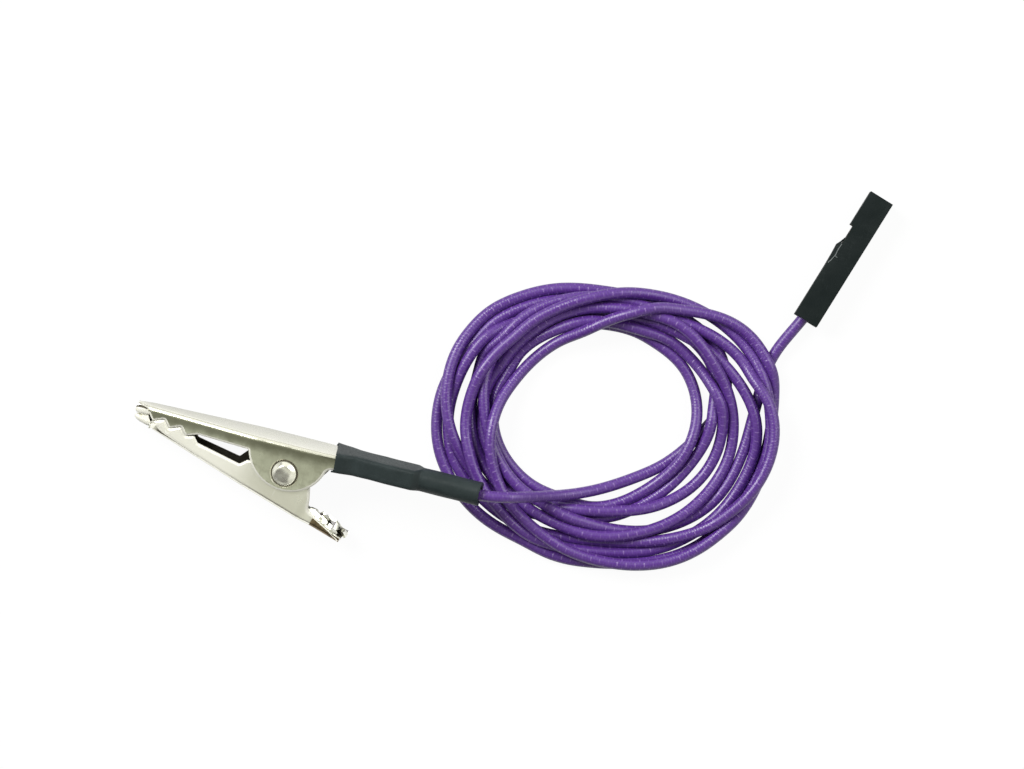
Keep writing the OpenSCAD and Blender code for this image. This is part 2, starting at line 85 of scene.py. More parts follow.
class CLIPLEAD_PG_clip(bpy.types.PropertyGroup):
    """Sizes of the sheet-metal clip."""
    sheet: length("Sheet", "Thickness of the jaws' sheet metal", 0.35, 0.2, 0.5)
    reach: length("Jaw reach", "From the rivet forward to the very tip", 15.9, 14.0, 18.0)
    tail: length("Tail reach", "From the rivet back to the tail's end", 12.1, 10.0, 13.0)
    upper_back: length("Upper back", "Height of the upper back above the rivet's axis",
                       2.95, 2.5, 3.5)
    lower_back: length("Lower back", "Depth of the lower back below the rivet's axis",
                       3.19, 2.8, 3.6)
    jaw_angle: angle("Jaw angle", "Angle between the two backs when the jaws are closed", 17.5)
    ear_radius: length("Ear radius", "Radius of the upper jaw's round ears", 4.05, 3.5, 4.5)
    bend: length("Bend radius", "Outer radius of the bend along each back", 0.5, 0.4, 0.8)
    head: length("Rivet head", "Radius of the rivet's domed heads", 1.18, 1.0, 1.4)
    roll: angle("Roll", "How far the clip lies rolled onto its side", 14.5)
    pitch: angle("Pitch", "How far the clip's tip points down", 8.0)


class CLIPLEAD_PG_wire(bpy.types.PropertyGroup):
    """Sizes of the wire, its sleeve and its connector."""
    diameter: length("Wire", "Outer diameter of the wire", 1.1, 0.8, 1.4)
    tick_pitch: length("Thread pitch", "From one pale thread of the sheath to the next",
                       0.88, 0.4, 1.5)
    sleeve: length("Sleeve", "Outer diameter of the sleeve round the wire", 2.3, 2.0, 2.6)
    housing: length("Housing", "Width and height of the connector's housing", 2.5, 2.4, 2.6)
    housing_length: length("Housing length", "Length of the connector's housing", 14.0, 13.5, 14.5)


class CLIPLEAD_PG_colours(bpy.types.PropertyGroup):
    """Colours of the finishes."""
    nickel: colour("Nickel", "Bright plating of the jaws", (0.93, 0.92, 0.82))
    nickel_dull: colour("Dull nickel", "Duller plating of the jaws", (0.68, 0.70, 0.57))
    tarnish: colour("Tarnish", "Clouded places in the plating", (0.28, 0.28, 0.18))
    sheath: colour("Sheath", "Woven sheath of the wire", (0.105, 0.030, 0.275))
    # The woven threads are real; their pale colour is a painted glint.
    thread_glint: colour("Thread", "Pale thread in the sheath", (0.52, 0.34, 0.74))
    sleeve: colour("Sleeve", "Heat-shrink sleeve", (0.022, 0.031, 0.032))
    housing: colour("Housing", "Plastic of the connector's housing", (0.006, 0.0105, 0.0105))


def settings():
    """The three groups of values: clip, wire, colours."""
    scene = bpy.context.scene
    return scene.cliplead_clip, scene.cliplead_wire, scene.cliplead_colours


# ---- Placing and meshing --------------------------------------------------------------------

RIVET_AT = (-1.35, 0.95, 2.69)      # the rivet's middle
HOUSING_AT = (43.8, 27.0)           # middle of the housing's rear face
HOUSING_TURN = 72.1                 # degrees from +X to the housing's length


def clip_frame():
    """From the clip's frame in mm: x back from the rivet, y up to its back, z along the rivet."""
    clip = settings()[0]
    return (Matrix.Scale(MM, 4) @ Matrix.Translation(RIVET_AT)
            @ Matrix.Rotation(-clip.pitch, 4, "Y") @ Matrix.Rotation(clip.roll, 4, "X"))


def lower_frame():
    """From the lower jaw's frame (x along its back, y down to it)."""
    turned = Matrix.Rotation(-settings()[0].jaw_angle, 4, "Z")
    return clip_frame() @ turned @ Matrix.Scale(-1, 4, (0, 1, 0))


def housing_frame():
    """From the housing's frame (x from the wire's end to the pin's end, z out of the window)."""
    wire = settings()[1]
    return (Matrix.Scale(MM, 4) @ Matrix.Translation((*HOUSING_AT, wire.housing / 2))
            @ Matrix.Rotation(math.radians(HOUSING_TURN), 4, "Z")
            @ Matrix.Rotation(math.radians(-90), 4, "X"))


def linked(name, data):
    """A new object in the scene."""
    obj = bpy.data.objects.new(name, data)
    bpy.context.scene.collection.objects.link(obj)
    return obj


def mesh_object(name, points, faces):
    """A new object in the scene from points and faces, with its normals made to agree."""
    mesh = bpy.data.meshes.new(name)
    mesh.from_pydata([tuple(p) for p in points], [], faces)
    made = bmesh.new()
    made.from_mesh(mesh)
    bmesh.ops.recalc_face_normals(made, faces=made.faces)
    made.to_mesh(mesh)
    made.free()
    return linked(name, mesh)


def skin(rings, ends="capped"):
    """Faces over rings of equally many points, whose ends are capped, open or joined."""
    n, rows = len(rings[0]), len(rings)
    faces = []
    for k in range(rows if ends == "joined" else rows - 1):
        a, b = k * n, (k + 1) % rows * n
        faces += [(a + i, a + (i + 1) % n, b + (i + 1) % n, b + i) for i in range(n)]
    if ends == "capped":
        faces += [tuple(range(n)), tuple(range((rows - 1) * n, rows * n))]
    return faces


def ring_object(name, rings, ends="capped"):
    """A new object over rings of points."""
    return mesh_object(name, [p for ring in rings for p in ring], skin(rings, ends))


def applied(obj):
    """obj with its modifiers applied, still in mm."""
    depsgraph = bpy.context.evaluated_depsgraph_get()
    depsgraph.update()
    mesh = bpy.data.meshes.new_from_object(obj.evaluated_get(depsgraph))
    obj.modifiers.clear()
    old, obj.data = obj.data, mesh
    bpy.data.meshes.remove(old)
    return obj


def settle(obj, place, crease=35.0):
    """Applies obj's modifiers in mm, then sets its mesh down in metres with soft shading."""
    mesh = applied(obj).data
    mesh.transform(place)
    if place.determinant() < 0:
        mesh.flip_normals()
    mesh.name = obj.name
    mesh.shade_smooth()
    mesh.set_sharp_from_angle(angle=math.radians(crease))
    return obj


def finish_piece(obj, body, slot, finishes, *nodes):
    """Gives a piece its finishes and its body, and hides the CAD nodes it stands for."""
    if obj.data.materials:
        obj.data.materials.clear()
    for name in finishes.split():
        obj.data.materials.append(finish_of(name))
    if body:
        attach(obj, body)
    if nodes:
        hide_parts(*nodes)
    return obj


def cut(obj, cutter):
    """Takes a closed mesh away from obj."""
    step = obj.modifiers.new("cut", "BOOLEAN")
    step.operation, step.solver, step.object = "DIFFERENCE", "EXACT", cutter
    applied(obj)
    bpy.data.objects.remove(cutter)


def rounded(obj, width, segments=2):
    """Rounds every sharp edge of obj by a width in mm."""
    step = obj.modifiers.new("rounding", "BEVEL")
    step.width, step.segments, step.limit_method = width, segments, "ANGLE"
    step.angle_limit = math.radians(40)
    return obj


def joined(objects, name):
    """One object from several."""
    made = bmesh.new()
    for obj in objects:
        made.from_mesh(obj.data)
    mesh = bpy.data.meshes.new(name)
    made.to_mesh(mesh)
    made.free()
    for obj in objects:
        bpy.data.objects.remove(obj)
    return linked(name, mesh)


def block(low, high):
    """A box between two corners, as a cutter."""
    (x0, y0, z0), (x1, y1, z1) = low, high
    return ring_object("cutter", [[(x, y0, z0), (x, y1, z0), (x, y1, z1), (x, y0, z1)]
                                  for x in (x0, x1)])


def turns(sides, offset=0.0):
    """Angles of points spread evenly round a ring."""
    return [2 * math.pi * (k + offset) / sides for k in range(sides)]


def turned_rings(profile, sides=64):
    """Rings of a turned body from rows of [radius, z]."""
    return [[(r * math.cos(t), r * math.sin(t), z) for t in turns(sides)] for r, z in profile]


def cut_round(obj, profile, sides=64):
    """Takes a turned body away from obj."""
    cut(obj, ring_object("cutter", turned_rings(profile, sides)))


def tube_rings(path, radius, sides, up=Vector((0, 0, 1))):
    """Round rings square to a path that never runs along up."""
    rings = []
    for i, p in enumerate(path):
        along = (path[min(i + 1, len(path) - 1)] - path[max(i - 1, 0)]).normalized()
        side = up.cross(along).normalized()
        top = along.cross(side)
        rings.append([p + radius * (math.cos(t) * side + math.sin(t) * top) for t in turns(sides)])
    return rings


def spline(points, t):
    """Catmull-Rom through rows of numbers, at the places t, counted in rows."""
    p = np.asarray(points, float)
    p = p[:, None] if p.ndim == 1 else p
    q = np.vstack([2 * p[0] - p[1], p, 2 * p[-1] - p[-2]])
    i = np.clip(np.floor(t).astype(int), 0, len(p) - 2)
    f = (t - i)[:, None]
    a, b, c, d = q[i], q[i + 1], q[i + 2], q[i + 3]
    return 0.5 * (2 * b + (c - a) * f + (2 * a - 5 * b + 4 * c - d) * f ** 2
                  + (3 * b - a - 3 * c + d) * f ** 3)


def even(path, step):
    """The same path with its points a step apart."""
    run = np.concatenate([[0.0], np.cumsum(np.linalg.norm(np.diff(path, axis=0), axis=1))])
    at = np.linspace(0.0, run[-1], int(round(run[-1] / step)) + 1)
    return np.column_stack([np.interp(at, run, path[:, k]) for k in range(path.shape[1])])


def smoothed(path, rounds):
    """A path with its inner points drawn towards their neighbours."""
    for _ in range(rounds):
        path[1:-1] = 0.5 * path[1:-1] + 0.25 * (path[:-2] + path[2:])
    return path


def eased(share):
    """A share of the way, kept between 0 and 1, with a soft start and end."""
    share = np.clip(share, 0.0, 1.0)
    return share * share * (3 - 2 * share)


def signed_power(v, power):
    """A power of v that keeps its sign."""
    return math.copysign(abs(v) ** power, v)


# ---- Finishes -------------------------------------------------------------------------------

class Graph:
    """Places nodes in a tree. An input is given as another node's socket or as a plain value."""

    def __init__(self, tree):
        self.tree = tree

    def node(self, kind, inputs=(), **settings_of_node):
        made = self.tree.nodes.new(kind)
        for key, value in settings_of_node.items():
            setattr(made, key, value)
        for key, value in dict(inputs).items():
            self.feed(made.inputs[key], value)
        return made

    def feed(self, socket, value):
        if isinstance(value, bpy.types.NodeSocket):
            self.tree.links.new(value, socket)
        else:
            socket.default_value = value

    def math(self, operation, a, b=0.0, clamp=False):
        made = self.node("ShaderNodeMath", {0: a, 1: b}, operation=operation, use_clamp=clamp)
        return made.outputs[0]

    def plus(self, a, b, clamp=False):
        return self.math("ADD", a, b, clamp)

    def minus(self, a, b):
        return self.math("SUBTRACT", a, b)

    def times(self, a, b):
        return self.math("MULTIPLY", a, b)

    def off_middle(self, value):
        return self.math("ABSOLUTE", self.minus(value, 0.5))

    def mix(self, share, a, b):
        made = self.node("ShaderNodeMix", {0: share}, data_type="RGBA")
        self.feed(made.inputs[6], a)
        self.feed(made.inputs[7], b)
        return made.outputs[2]

    def ramp(self, value, low, high, out_low=0.0, out_high=1.0):
        ends = {"Value": value, "From Min": low, "From Max": high, "To Min": out_low,
                "To Max": out_high}
        made = self.node("ShaderNodeMapRange", ends, interpolation_type="SMOOTHSTEP")
        return made.outputs["Result"]

    def noise(self, vector, scale, detail=2.0, rough=0.5):
        values = {"Vector": vector, "Scale": scale, "Detail": detail, "Roughness": rough}
        return self.node("ShaderNodeTexNoise", values).outputs["Fac"]

    def bump(self, height, distance):
        return self.node("ShaderNodeBump", {"Height": height, "Distance": distance,
                                            "Strength": 1.0}).outputs["Normal"]

    def split(self, vector):
        return self.node("ShaderNodeSeparateXYZ", {0: vector}).outputs

    def millimetres(self):
        """Object coordinates counted in millimetres."""
        at = self.node("ShaderNodeTexCoord").outputs["Object"]
        return self.node("ShaderNodeVectorMath", {0: at, "Scale": 1.0 / MM},
                         operation="SCALE").outputs[0]

    def group(self, name, **values):
        """Places a shared group with this finish's own values."""
        made = self.node("ShaderNodeGroup", node_tree=bpy.data.node_groups[name])
        for key, value in values.items():
            made.inputs[key.replace("_", " ")].default_value = value
        return made.outputs


def tint(rgb, factor=1.0, lift=0.0):
    """A colour with its alpha, made lighter or darker."""
    return (*(min(1.0, c * factor + lift) for c in rgb), 1.0)


def new_group(name, inputs, outputs):
    """A shader node group with named values in and out: its graph, its inputs and its outputs."""
    tree = bpy.data.node_groups.new(name, "ShaderNodeTree")
    for label, default in inputs.items():
        made = tree.interface.new_socket(name=label, in_out="INPUT", socket_type="NodeSocketFloat")
        made.default_value = default
    for label in outputs:
        tree.interface.new_socket(name=label, in_out="OUTPUT", socket_type="NodeSocketFloat")
    graph = Graph(tree)
    return graph, graph.node("NodeGroupInput").outputs, graph.node("NodeGroupOutput").inputs


def build_grain_group():
    """Blotches and a fine grain, both as masks, and one height from them."""
    graph, given, out = new_group(
        "surface_grain", {"Blotch Scale": 0.4, "Grain Scale": 12.0, "Blotch Contrast": 0.5},
        ("Blotch", "Grain", "Height"))
    at = graph.millimetres()
    half_span = graph.times(graph.minus(1.0, given["Blotch Contrast"]), 0.3)
    blotch = graph.ramp(graph.noise(at, given["Blotch Scale"], 4.0, 0.6),
                        graph.minus(0.5, half_span), graph.plus(0.5, half_span))
    grain = graph.noise(at, given["Grain Scale"], 3.0, 0.6)
    graph.feed(out["Blotch"], blotch)
    graph.feed(out["Grain"], grain)
    graph.feed(out["Height"], graph.plus(grain, graph.times(blotch, 0.3)))


def build_scuff_group():
    """Thin crossing scratches as a mask: two stretched noises, cut to narrow bands."""
    graph, given, out = new_group("scuffs", {"Scale": 1.0, "Amount": 0.5}, ("Mask",))
    at = graph.millimetres()
    marks = []
    for turn, stretch in ((0.6, (0.35, 9.0, 2.0)), (-0.9, (7.0, 0.4, 2.0))):
        turned = graph.node("ShaderNodeMapping",
                            {"Vector": at, "Rotation": (0.2, 0.1, turn), "Scale": stretch})
        lines = graph.noise(turned.outputs[0], given["Scale"], 1.0, 0.4)
        marks.append(graph.ramp(graph.off_middle(lines), 0.0, 0.018, 1.0, 0.0))
    patch = graph.ramp(graph.noise(at, 0.5, 1.0), 0.45, 0.65)
    both = graph.math("MAXIMUM", *marks)
    graph.feed(out["Mask"], graph.times(graph.times(both, patch), given["Amount"]))


def build_edge_group():
    """Edges that handling has polished or bared."""
    graph, given, out = new_group("edge_wear", {"From": 0.52, "To": 0.6}, ("Mask",))
    point = graph.node("ShaderNodeNewGeometry").outputs["Pointiness"]
    patch = graph.ramp(graph.noise(graph.millimetres(), 2.0, 3.0), 0.3, 0.6)
    graph.feed(out["Mask"], graph.times(graph.ramp(point, given["From"], given["To"]), patch))


def build_sheath_group():
    """The wire's woven sheath: rows of short threads across it, coloured pale as painted glints,
    and a fine crossed weave.
    """
    graph, given, out = new_group(
        "woven_sheath", {"Pitch": 0.88, "Rows": 6.0, "Weave Pitch": 0.3},
        ("Thread", "Weave", "Height"))
    along, turn, _ = graph.split(graph.node("ShaderNodeUVMap", uv_map="along_and_round").outputs[0])
    rows = graph.times(turn, given["Rows"])
    row = graph.math("FLOOR", rows)
    stagger = graph.times(graph.math("MODULO", row, 2.0), 0.5)
    cell = graph.plus(graph.math("DIVIDE", along, given["Pitch"]), stagger)
    off, across = (graph.off_middle(graph.math("FRACT", value)) for value in (cell, rows))
    thread_glint = graph.times(graph.ramp(off, 0.02, 0.085, 1.0, 0.0),
                         graph.ramp(across, 0.25, 0.47, 1.0, 0.0))
    spot = graph.node("ShaderNodeCombineXYZ", {0: graph.math("FLOOR", cell), 1: row}).outputs[0]
    loose = graph.node("ShaderNodeTexWhiteNoise", {"Vector": spot}, noise_dimensions="3D")
    thread_glint = graph.times(thread_glint, graph.ramp(loose.outputs[0], 0.0, 0.9, 0.25, 1.0))
    swing = graph.times(graph.math("DIVIDE", along, given["Weave Pitch"]), 2 * math.pi)
    sweep = graph.times(turn, 2 * math.pi * 5)
    crossed = (graph.math("SINE", way(swing, sweep)) for way in (graph.plus, graph.minus))
    weave = graph.plus(graph.times(graph.math("MAXIMUM", *crossed), 0.5), 0.5)
    graph.feed(out["Thread"], thread_glint)
    graph.feed(out["Weave"], weave)
    graph.feed(out["Height"], graph.plus(graph.times(weave, 0.6), thread_glint))


def new_material(name):
    """A material with its Principled shader wired, its graph, and the shader's inputs."""
    material = bpy.data.materials.new(name)
    material.use_nodes = True
    return material, Graph(material.node_tree), material.node_tree.nodes["Principled BSDF"].inputs


def plated_metal(name, bright, dull, rough, grain_depth, blotch_scale, scuff=0.5, dulled=0.6,
                 metallic=1.0, paler_to_tip=None, dark_near_bend=None):
    """Plated or bare metal: blotches of dull plating, fine scratches and edges rubbed bright.

    The first range turns the plating paler and less metallic along the clip; the second paints
    shade, darkening it across the clip towards the back's bend. Both are from and to in mm."""
    material, graph, shader = new_material(name)
    grain = graph.group("surface_grain", Blotch_Scale=blotch_scale, Grain_Scale=9.0,
                        Blotch_Contrast=0.3)
    scuffs = graph.group("scuffs", Scale=1.0, Amount=scuff)["Mask"]
    tone = graph.mix(graph.times(grain["Blotch"], dulled), tint(bright), tint(dull))
    tone = graph.mix(graph.group("edge_wear")["Mask"], tone, tint(bright, 1.12))
    # Painted shade: a band darkened across the clip towards the back's bend, where the plating
    # mirrors the dim ceiling.
    if dark_near_bend:
        across = graph.split(graph.millimetres())[1]
        painted_dark = graph.ramp(graph.plus(across, graph.times(grain["Blotch"], 0.25)), *dark_near_bend)
        tone = graph.mix(graph.times(painted_dark, 0.75), tone, tint(dull, 0.45))
    # Paler and less metallic along the clip, towards the tip.
    if paler_to_tip:
        along = graph.split(graph.millimetres())[0]
        paler_share = graph.plus(along, graph.times(grain["Blotch"], 2.0))
        paler_share = graph.ramp(paler_share, *paler_to_tip, 1.0, 0.0)
        tone = graph.mix(paler_share, tone, tint(bright))
        metallic = graph.ramp(paler_share, 0.0, 1.0, metallic, metallic * 0.25)
    graph.feed(shader["Base Color"], tone)
    graph.feed(shader["Metallic"], metallic)
    rough_here = graph.ramp(grain["Blotch"], 0.0, 1.0, rough, rough + 0.12)
    graph.feed(shader["Roughness"], graph.plus(rough_here, graph.times(scuffs, 0.15), clamp=True))
    height = graph.minus(grain["Height"], graph.times(scuffs, 0.8))
    graph.feed(shader["Normal"], graph.bump(height, grain_depth * MM))
    return material


def sheath_material():
    """The wire's sheath."""
    _, wire, colours = settings()
    material, graph, shader = new_material("woven_sheath")
    woven = graph.group("woven_sheath", Pitch=wire.tick_pitch)
    grain = graph.group("surface_grain", Blotch_Scale=0.5, Grain_Scale=14.0)
    tone = graph.mix(graph.times(woven["Weave"], grain["Grain"]),
                     tint(colours.sheath, 0.8), tint(colours.sheath, 1.25, 0.01))
    # Painted glint: the threads are mixed towards the pale colour.
    tone = graph.mix(graph.times(woven["Thread"], 0.36), tone, tint(colours.thread_glint))
    graph.feed(shader["Base Color"], tone)
    graph.feed(shader["Roughness"], graph.ramp(grain["Blotch"], 0.0, 1.0, 0.29, 0.42))
    shader["Specular IOR Level"].default_value = 0.65
    shader["Sheen Weight"].default_value = 0.06
    shader["Sheen Roughness"].default_value = 0.45
    shader["Sheen Tint"].default_value = (0.85, 0.75, 1.0, 1.0)
    graph.feed(shader["Normal"], graph.bump(woven["Height"], 0.014 * MM))
    return material


def moulded(name, base, rough, grain_scale, depth, lift, scuff, gloss=0.12):
    """Dull plastic or shrunk tubing with a grain, pale scuffs and worn edges."""
    material, graph, shader = new_material(name)
    grain = graph.group("surface_grain", Blotch_Scale=0.45, Grain_Scale=grain_scale,
                        Blotch_Contrast=0.1)
    scuffs = graph.group("scuffs", Scale=0.8, Amount=scuff)["Mask"]
    edge = graph.group("edge_wear", From=0.53, To=0.66)["Mask"]
    tone = graph.mix(graph.times(grain["Blotch"], 0.5), tint(base), tint(base, lift, 0.01))
    tone = graph.mix(graph.times(scuffs, 0.6), tone, tint(base, 3.0, 0.05))
    tone = graph.mix(graph.times(edge, 0.35), tone, tint(base, 2.0, 0.02))
    graph.feed(shader["Base Color"], tone)
    graph.feed(shader["Roughness"], graph.ramp(grain["Grain"], 0.3, 0.7, rough, rough + 0.12))
    shader["Specular IOR Level"].default_value = gloss
    graph.feed(shader["Normal"], graph.bump(grain["Height"], depth * MM))
    return material


def build_materials():
    """Every finish of the lead, by name."""
    clip, _, colours = settings()
    nickel, dull = colours.nickel, colours.nickel_dull
    # Painted shade on the upper plate, darker across the clip towards its back's bend.
    bend_at = (clip_frame() @ Vector((0, clip.upper_back - clip.bend, EAR_WIDTH / 2))).y / MM
    changes = {"upper_plate": {"dark_near_bend": (bend_at - 1.1, bend_at + 0.1)},
               # The lower plate turns paler and less metallic towards the tip.
               "lower_plate": {"paler_to_tip": (-8.5, -0.5)}}
    # [material, bright colour, dull colour, roughness, depth of the grain in mm, blotches per mm,
    #  scratches, share of the dull colour in a blotch, metallic]
    metals = {
        "upper_plate": ("cloudy_nickel", dull, colours.tarnish, 0.27, 0.004, 0.55, 0.3, 0.5, 1.0),
        "lower_plate": ("pale_nickel", nickel, dull, 0.27, 0.004, 0.25, 0.3, 0.3, 0.9),
        # Painted shade: dark brown for the outer face of the thumb tab's wall
        "stained": ("stained_nickel", (0.34, 0.26, 0.16), (0.09, 0.07, 0.04), 0.28, 0.004, 1.6,
                    0.3, 0.9),
        # Painted highlight: pale and almost unmetallic, so the rims and the tip's lobes look bright
        # from every side
        "rubbed_rim": ("rubbed_rim", nickel, nickel, 0.35, 0.003, 0.8, 0.2, 0.1, 0.12),
        "bright_nickel": ("bright_nickel", nickel, dull, 0.17, 0.0012, 0.8, 0.2, 0.2),
        # Painted shade: a dark colour for inner faces, the recess round the rivet and the upper
        # tip's lobes where they face its back
        "inside": ("unpolished_inside", (0.16, 0.15, 0.12), (0.07, 0.06, 0.045), 0.42, 0.006, 0.8,
                   0.1),
        "rivet": ("rivet_plate", nickel, dull, 0.2, 0.003, 0.8, 0.2, 0.3, 0.7),
        "spring": ("spring_wire", (0.42, 0.42, 0.40), (0.20, 0.20, 0.18), 0.32, 0.004, 1.5),
        "solder": ("solder", (0.62, 0.63, 0.62), (0.35, 0.36, 0.35), 0.42, 0.02, 1.2, 0.1),
        "strand": ("tinned_copper", (0.72, 0.55, 0.42), (0.55, 0.32, 0.18), 0.3, 0.004, 2.0, 0.2),
        "contact": ("contact_plate", (0.66, 0.52, 0.34), (0.40, 0.29, 0.17), 0.3, 0.004, 0.8),
    }
    # [material, colour, roughness, grains per mm, depth of the grain in mm, how much paler its
    #  blotches are, scratches, gloss]
    plastics = {
        "sleeve": ("heat_shrink", colours.sleeve, 0.38, 5.0, 0.02, 1.7, 0.25, 0.18),
        "housing": ("housing_plastic", colours.housing, 0.5, 7.0, 0.012, 1.3, 0.35),
        # Painted highlight: pale plastic for thin lines along the latch's edge
        "burr": ("burr_plastic", (0.2, 0.22, 0.22), 0.5, 9.0, 0.01, 1.3, 0.2),
    }
    for build in (build_grain_group, build_scuff_group, build_edge_group, build_sheath_group):
        build()
    made = {key: plated_metal(*row, **changes.get(key, {})) for key, row in metals.items()}
    made.update({key: moulded(*row) for key, row in plastics.items()})
    return made | {"sheath": sheath_material()}


MATERIALS = {}


def finish_of(name):
    """A finish, made with the others the first time one is asked for."""
    if not MATERIALS:
        MATERIALS.update(build_materials())
    return MATERIALS[name]


# ---- Wire -----------------------------------------------------------------------------------

# Route from the clip over the coil's rim and into it, and from the coil into the housing, in mm
LEAD_IN = [
    (9.78, 2.89, 4.76), (12, 2.89, 5.07), (14.5, 2.89, 5.42), (17.1, 2.9, 5.79), (18.4, 3.05, 5.93),
    (20, 3.4, 5.85), (21.8, 3.9, 5.5), (23.6, 4.4, 4.8), (25.4, 4.9, 3.8), (27, 5.55, 2.7),
    (28.6, 6.3, 1.8), (30.2, 7.3, 1.1), (31.8, 8.4, 0.7), (33.4, 9.5, 0.6), (34.9, 10.8, 0.6)]
LEAD_OUT = [
    (41.4, 22.75, 0.65), (42, 24.05, 0.8), (42.7, 25.45, 1.1), (43.53, 27.1, 1.25),
    (44.13, 28.36, 1.25), (44.5, 29.5, 1.25), (44.87, 30.65, 1.25)]
COIL_AT, COIL_TURN = (27.5, 12.3), 14.0     # its middle, and the direction its turns count from
STATION_TURN = 30.0                         # degrees from one place on a turn to the next

# How far each turn lies from the coil's middle, all the way round, in mm
TURNS = [
    (10.4, 13.4, 13.0, 13.05, 14.9, 16.4, 15.35, 12.9, 10.3, 9.0, 8.5, 8.85),
    (10.4, 12.2, 11.8, 11.9, 13.75, 15.45, 16.65, 15.4, 13.3, 12.9, 14.5, 15.3),
    (16.1, 16.9, 13.2, 10.35, 9.65, 10.0, 11.35, 11.95, 12.4, 13.25, 14.8, 15.5),
    (16.2, 15.8, 14.2, 12.9, 12.5, 13.1, 13.85, 13.35, 12.95, 12.5, 13.2, 14.3),
    (14.85, 12.9, 11.3, 11.3, 13.2, 15.0, 15.5, 14.0, 12.3, 11.35, 12.7, 15.3),
    (16.5, 14.6, 12.3, 12.7, 13.4, 13.5, 13.2, 11.8, 10.7, 10.7, 11.2, 12.3),
    (12.55, 12.3, 12.35, 11.8, 11.95, 12.0, 12.2, 10.8, 8.9, 8.25, 9.1, 10.65),
    (11.5, 10.9, 10.35, 10.3, 10.8, 11.55, 11.35, 10.05, 8.75, 8.0, 7.35, 7.9),
    (8.95, 9.65, 9.9, 10.1, 11.7, 13.1, 11.6, 10.65, 9.45, 10.0, 11.5, 12.85)]
# Which turn lies on which, at the same places: a higher number lies above a lower one
LAYERS = [
    (0, 0, 0, 1, 5, 5, 6, 1, 0, 1, 1, 1),
    (1, 0.5, 0.5, 0, 1, 2, 2, 1, 2, 1, 2, 1),
    (1, 2.9, 9, 9, 9, 9, 9, 8, 8, 8, 5, 5),
    (4, 3, 5, 8, 8, 8, 8, 7, 6, 3.1, 4, 4),
    (4, 4, 3, 2, 3, 4, 3, 2, 3, 3, 6, 7),
    (7, 5, 4, 4, 5, 1.5, 2, 4, 6, 6, 7, 7),
    (7, 7, 6, 5, 5, 3.2, 2, 2.5, 3, 4, 5, 5),
    (5, 3, 2, 2, 4, 3, 2, 2, 2, 2, 2, 3),
    (2, 1, 1, 1, 1, 3.6, 3, 3.5, 5, 3, 1, 1)]
COIL_END, COIL_END_LAYER = 14.1, 0.5    # distance and layer where the last turn ends
COIL_EXIT, EXIT_TURN, EXIT_HEIGHT = 15.3, 12.4, 0.6     # the next point's distance, degrees, height
LAYER_LIFT = 0.45                       # how far apart the layers start before they settle
SLEEVE_HOLD, HOUSING_HOLD = 7.7, 5.0    # lengths of wire that the sleeve and the housing hold
HOLD_FADE = 4.0                         # length of wire over which a hold lets go
COIL_START, LAID_POINTS = 0.2, 20       # place on the first turn where it begins; points per place
# How the turns settle: spacing of the points and rounds, how far they sink in each round and in
# which share of the rounds, how strongly they straighten and keep to their route, how strongly
# they push each other apart, and how near they are looked for, in diameters
STEP, ROUNDS, SINK, SINK_SHARE = 0.55, 260, 0.03, 0.8
STRAIGHTEN, KEEP_ROUTE, PUSH, LOOK = (0.3, 0.3, 0.35), 0.1, 0.5, 2.2
WIRE_SIDES, WIRE_DENSITY = 16, 1.3      # points round the wire, and rings per settled point


def around(distance, degrees):
    """A point at a distance and angle from the coil's middle."""
    turn = math.radians(degrees + COIL_TURN)
    return (COIL_AT[0] + distance * math.cos(turn), COIL_AT[1] + distance * math.sin(turn))


def drawn(points, count):
    """A smooth run of count points through a few."""
    return spline(points, np.linspace(0, len(points) - 1, count))


def laid_route(diameter):
    """The whole wire's route before its turns have settled on each other."""
    reach = [v for row in TURNS for v in row] + [COIL_END]
    layer = [v for row in LAYERS for v in row] + [COIL_END_LAYER]
    count = len(reach) - 1
    at = np.linspace(COIL_START, count, count * LAID_POINTS)
    distance = spline(reach, at)[:, 0]
    rank = np.interp(at, np.arange(count + 1), layer)
    coil = [(*around(r, STATION_TURN * t), diameter / 2 + LAYER_LIFT * k)
            for r, t, k in zip(distance, at, rank)]
    tail = [(*around(COIL_EXIT, EXIT_TURN), EXIT_HEIGHT)] + LEAD_OUT
    return np.vstack([drawn(LEAD_IN, 200), coil, drawn(tail, 100)])


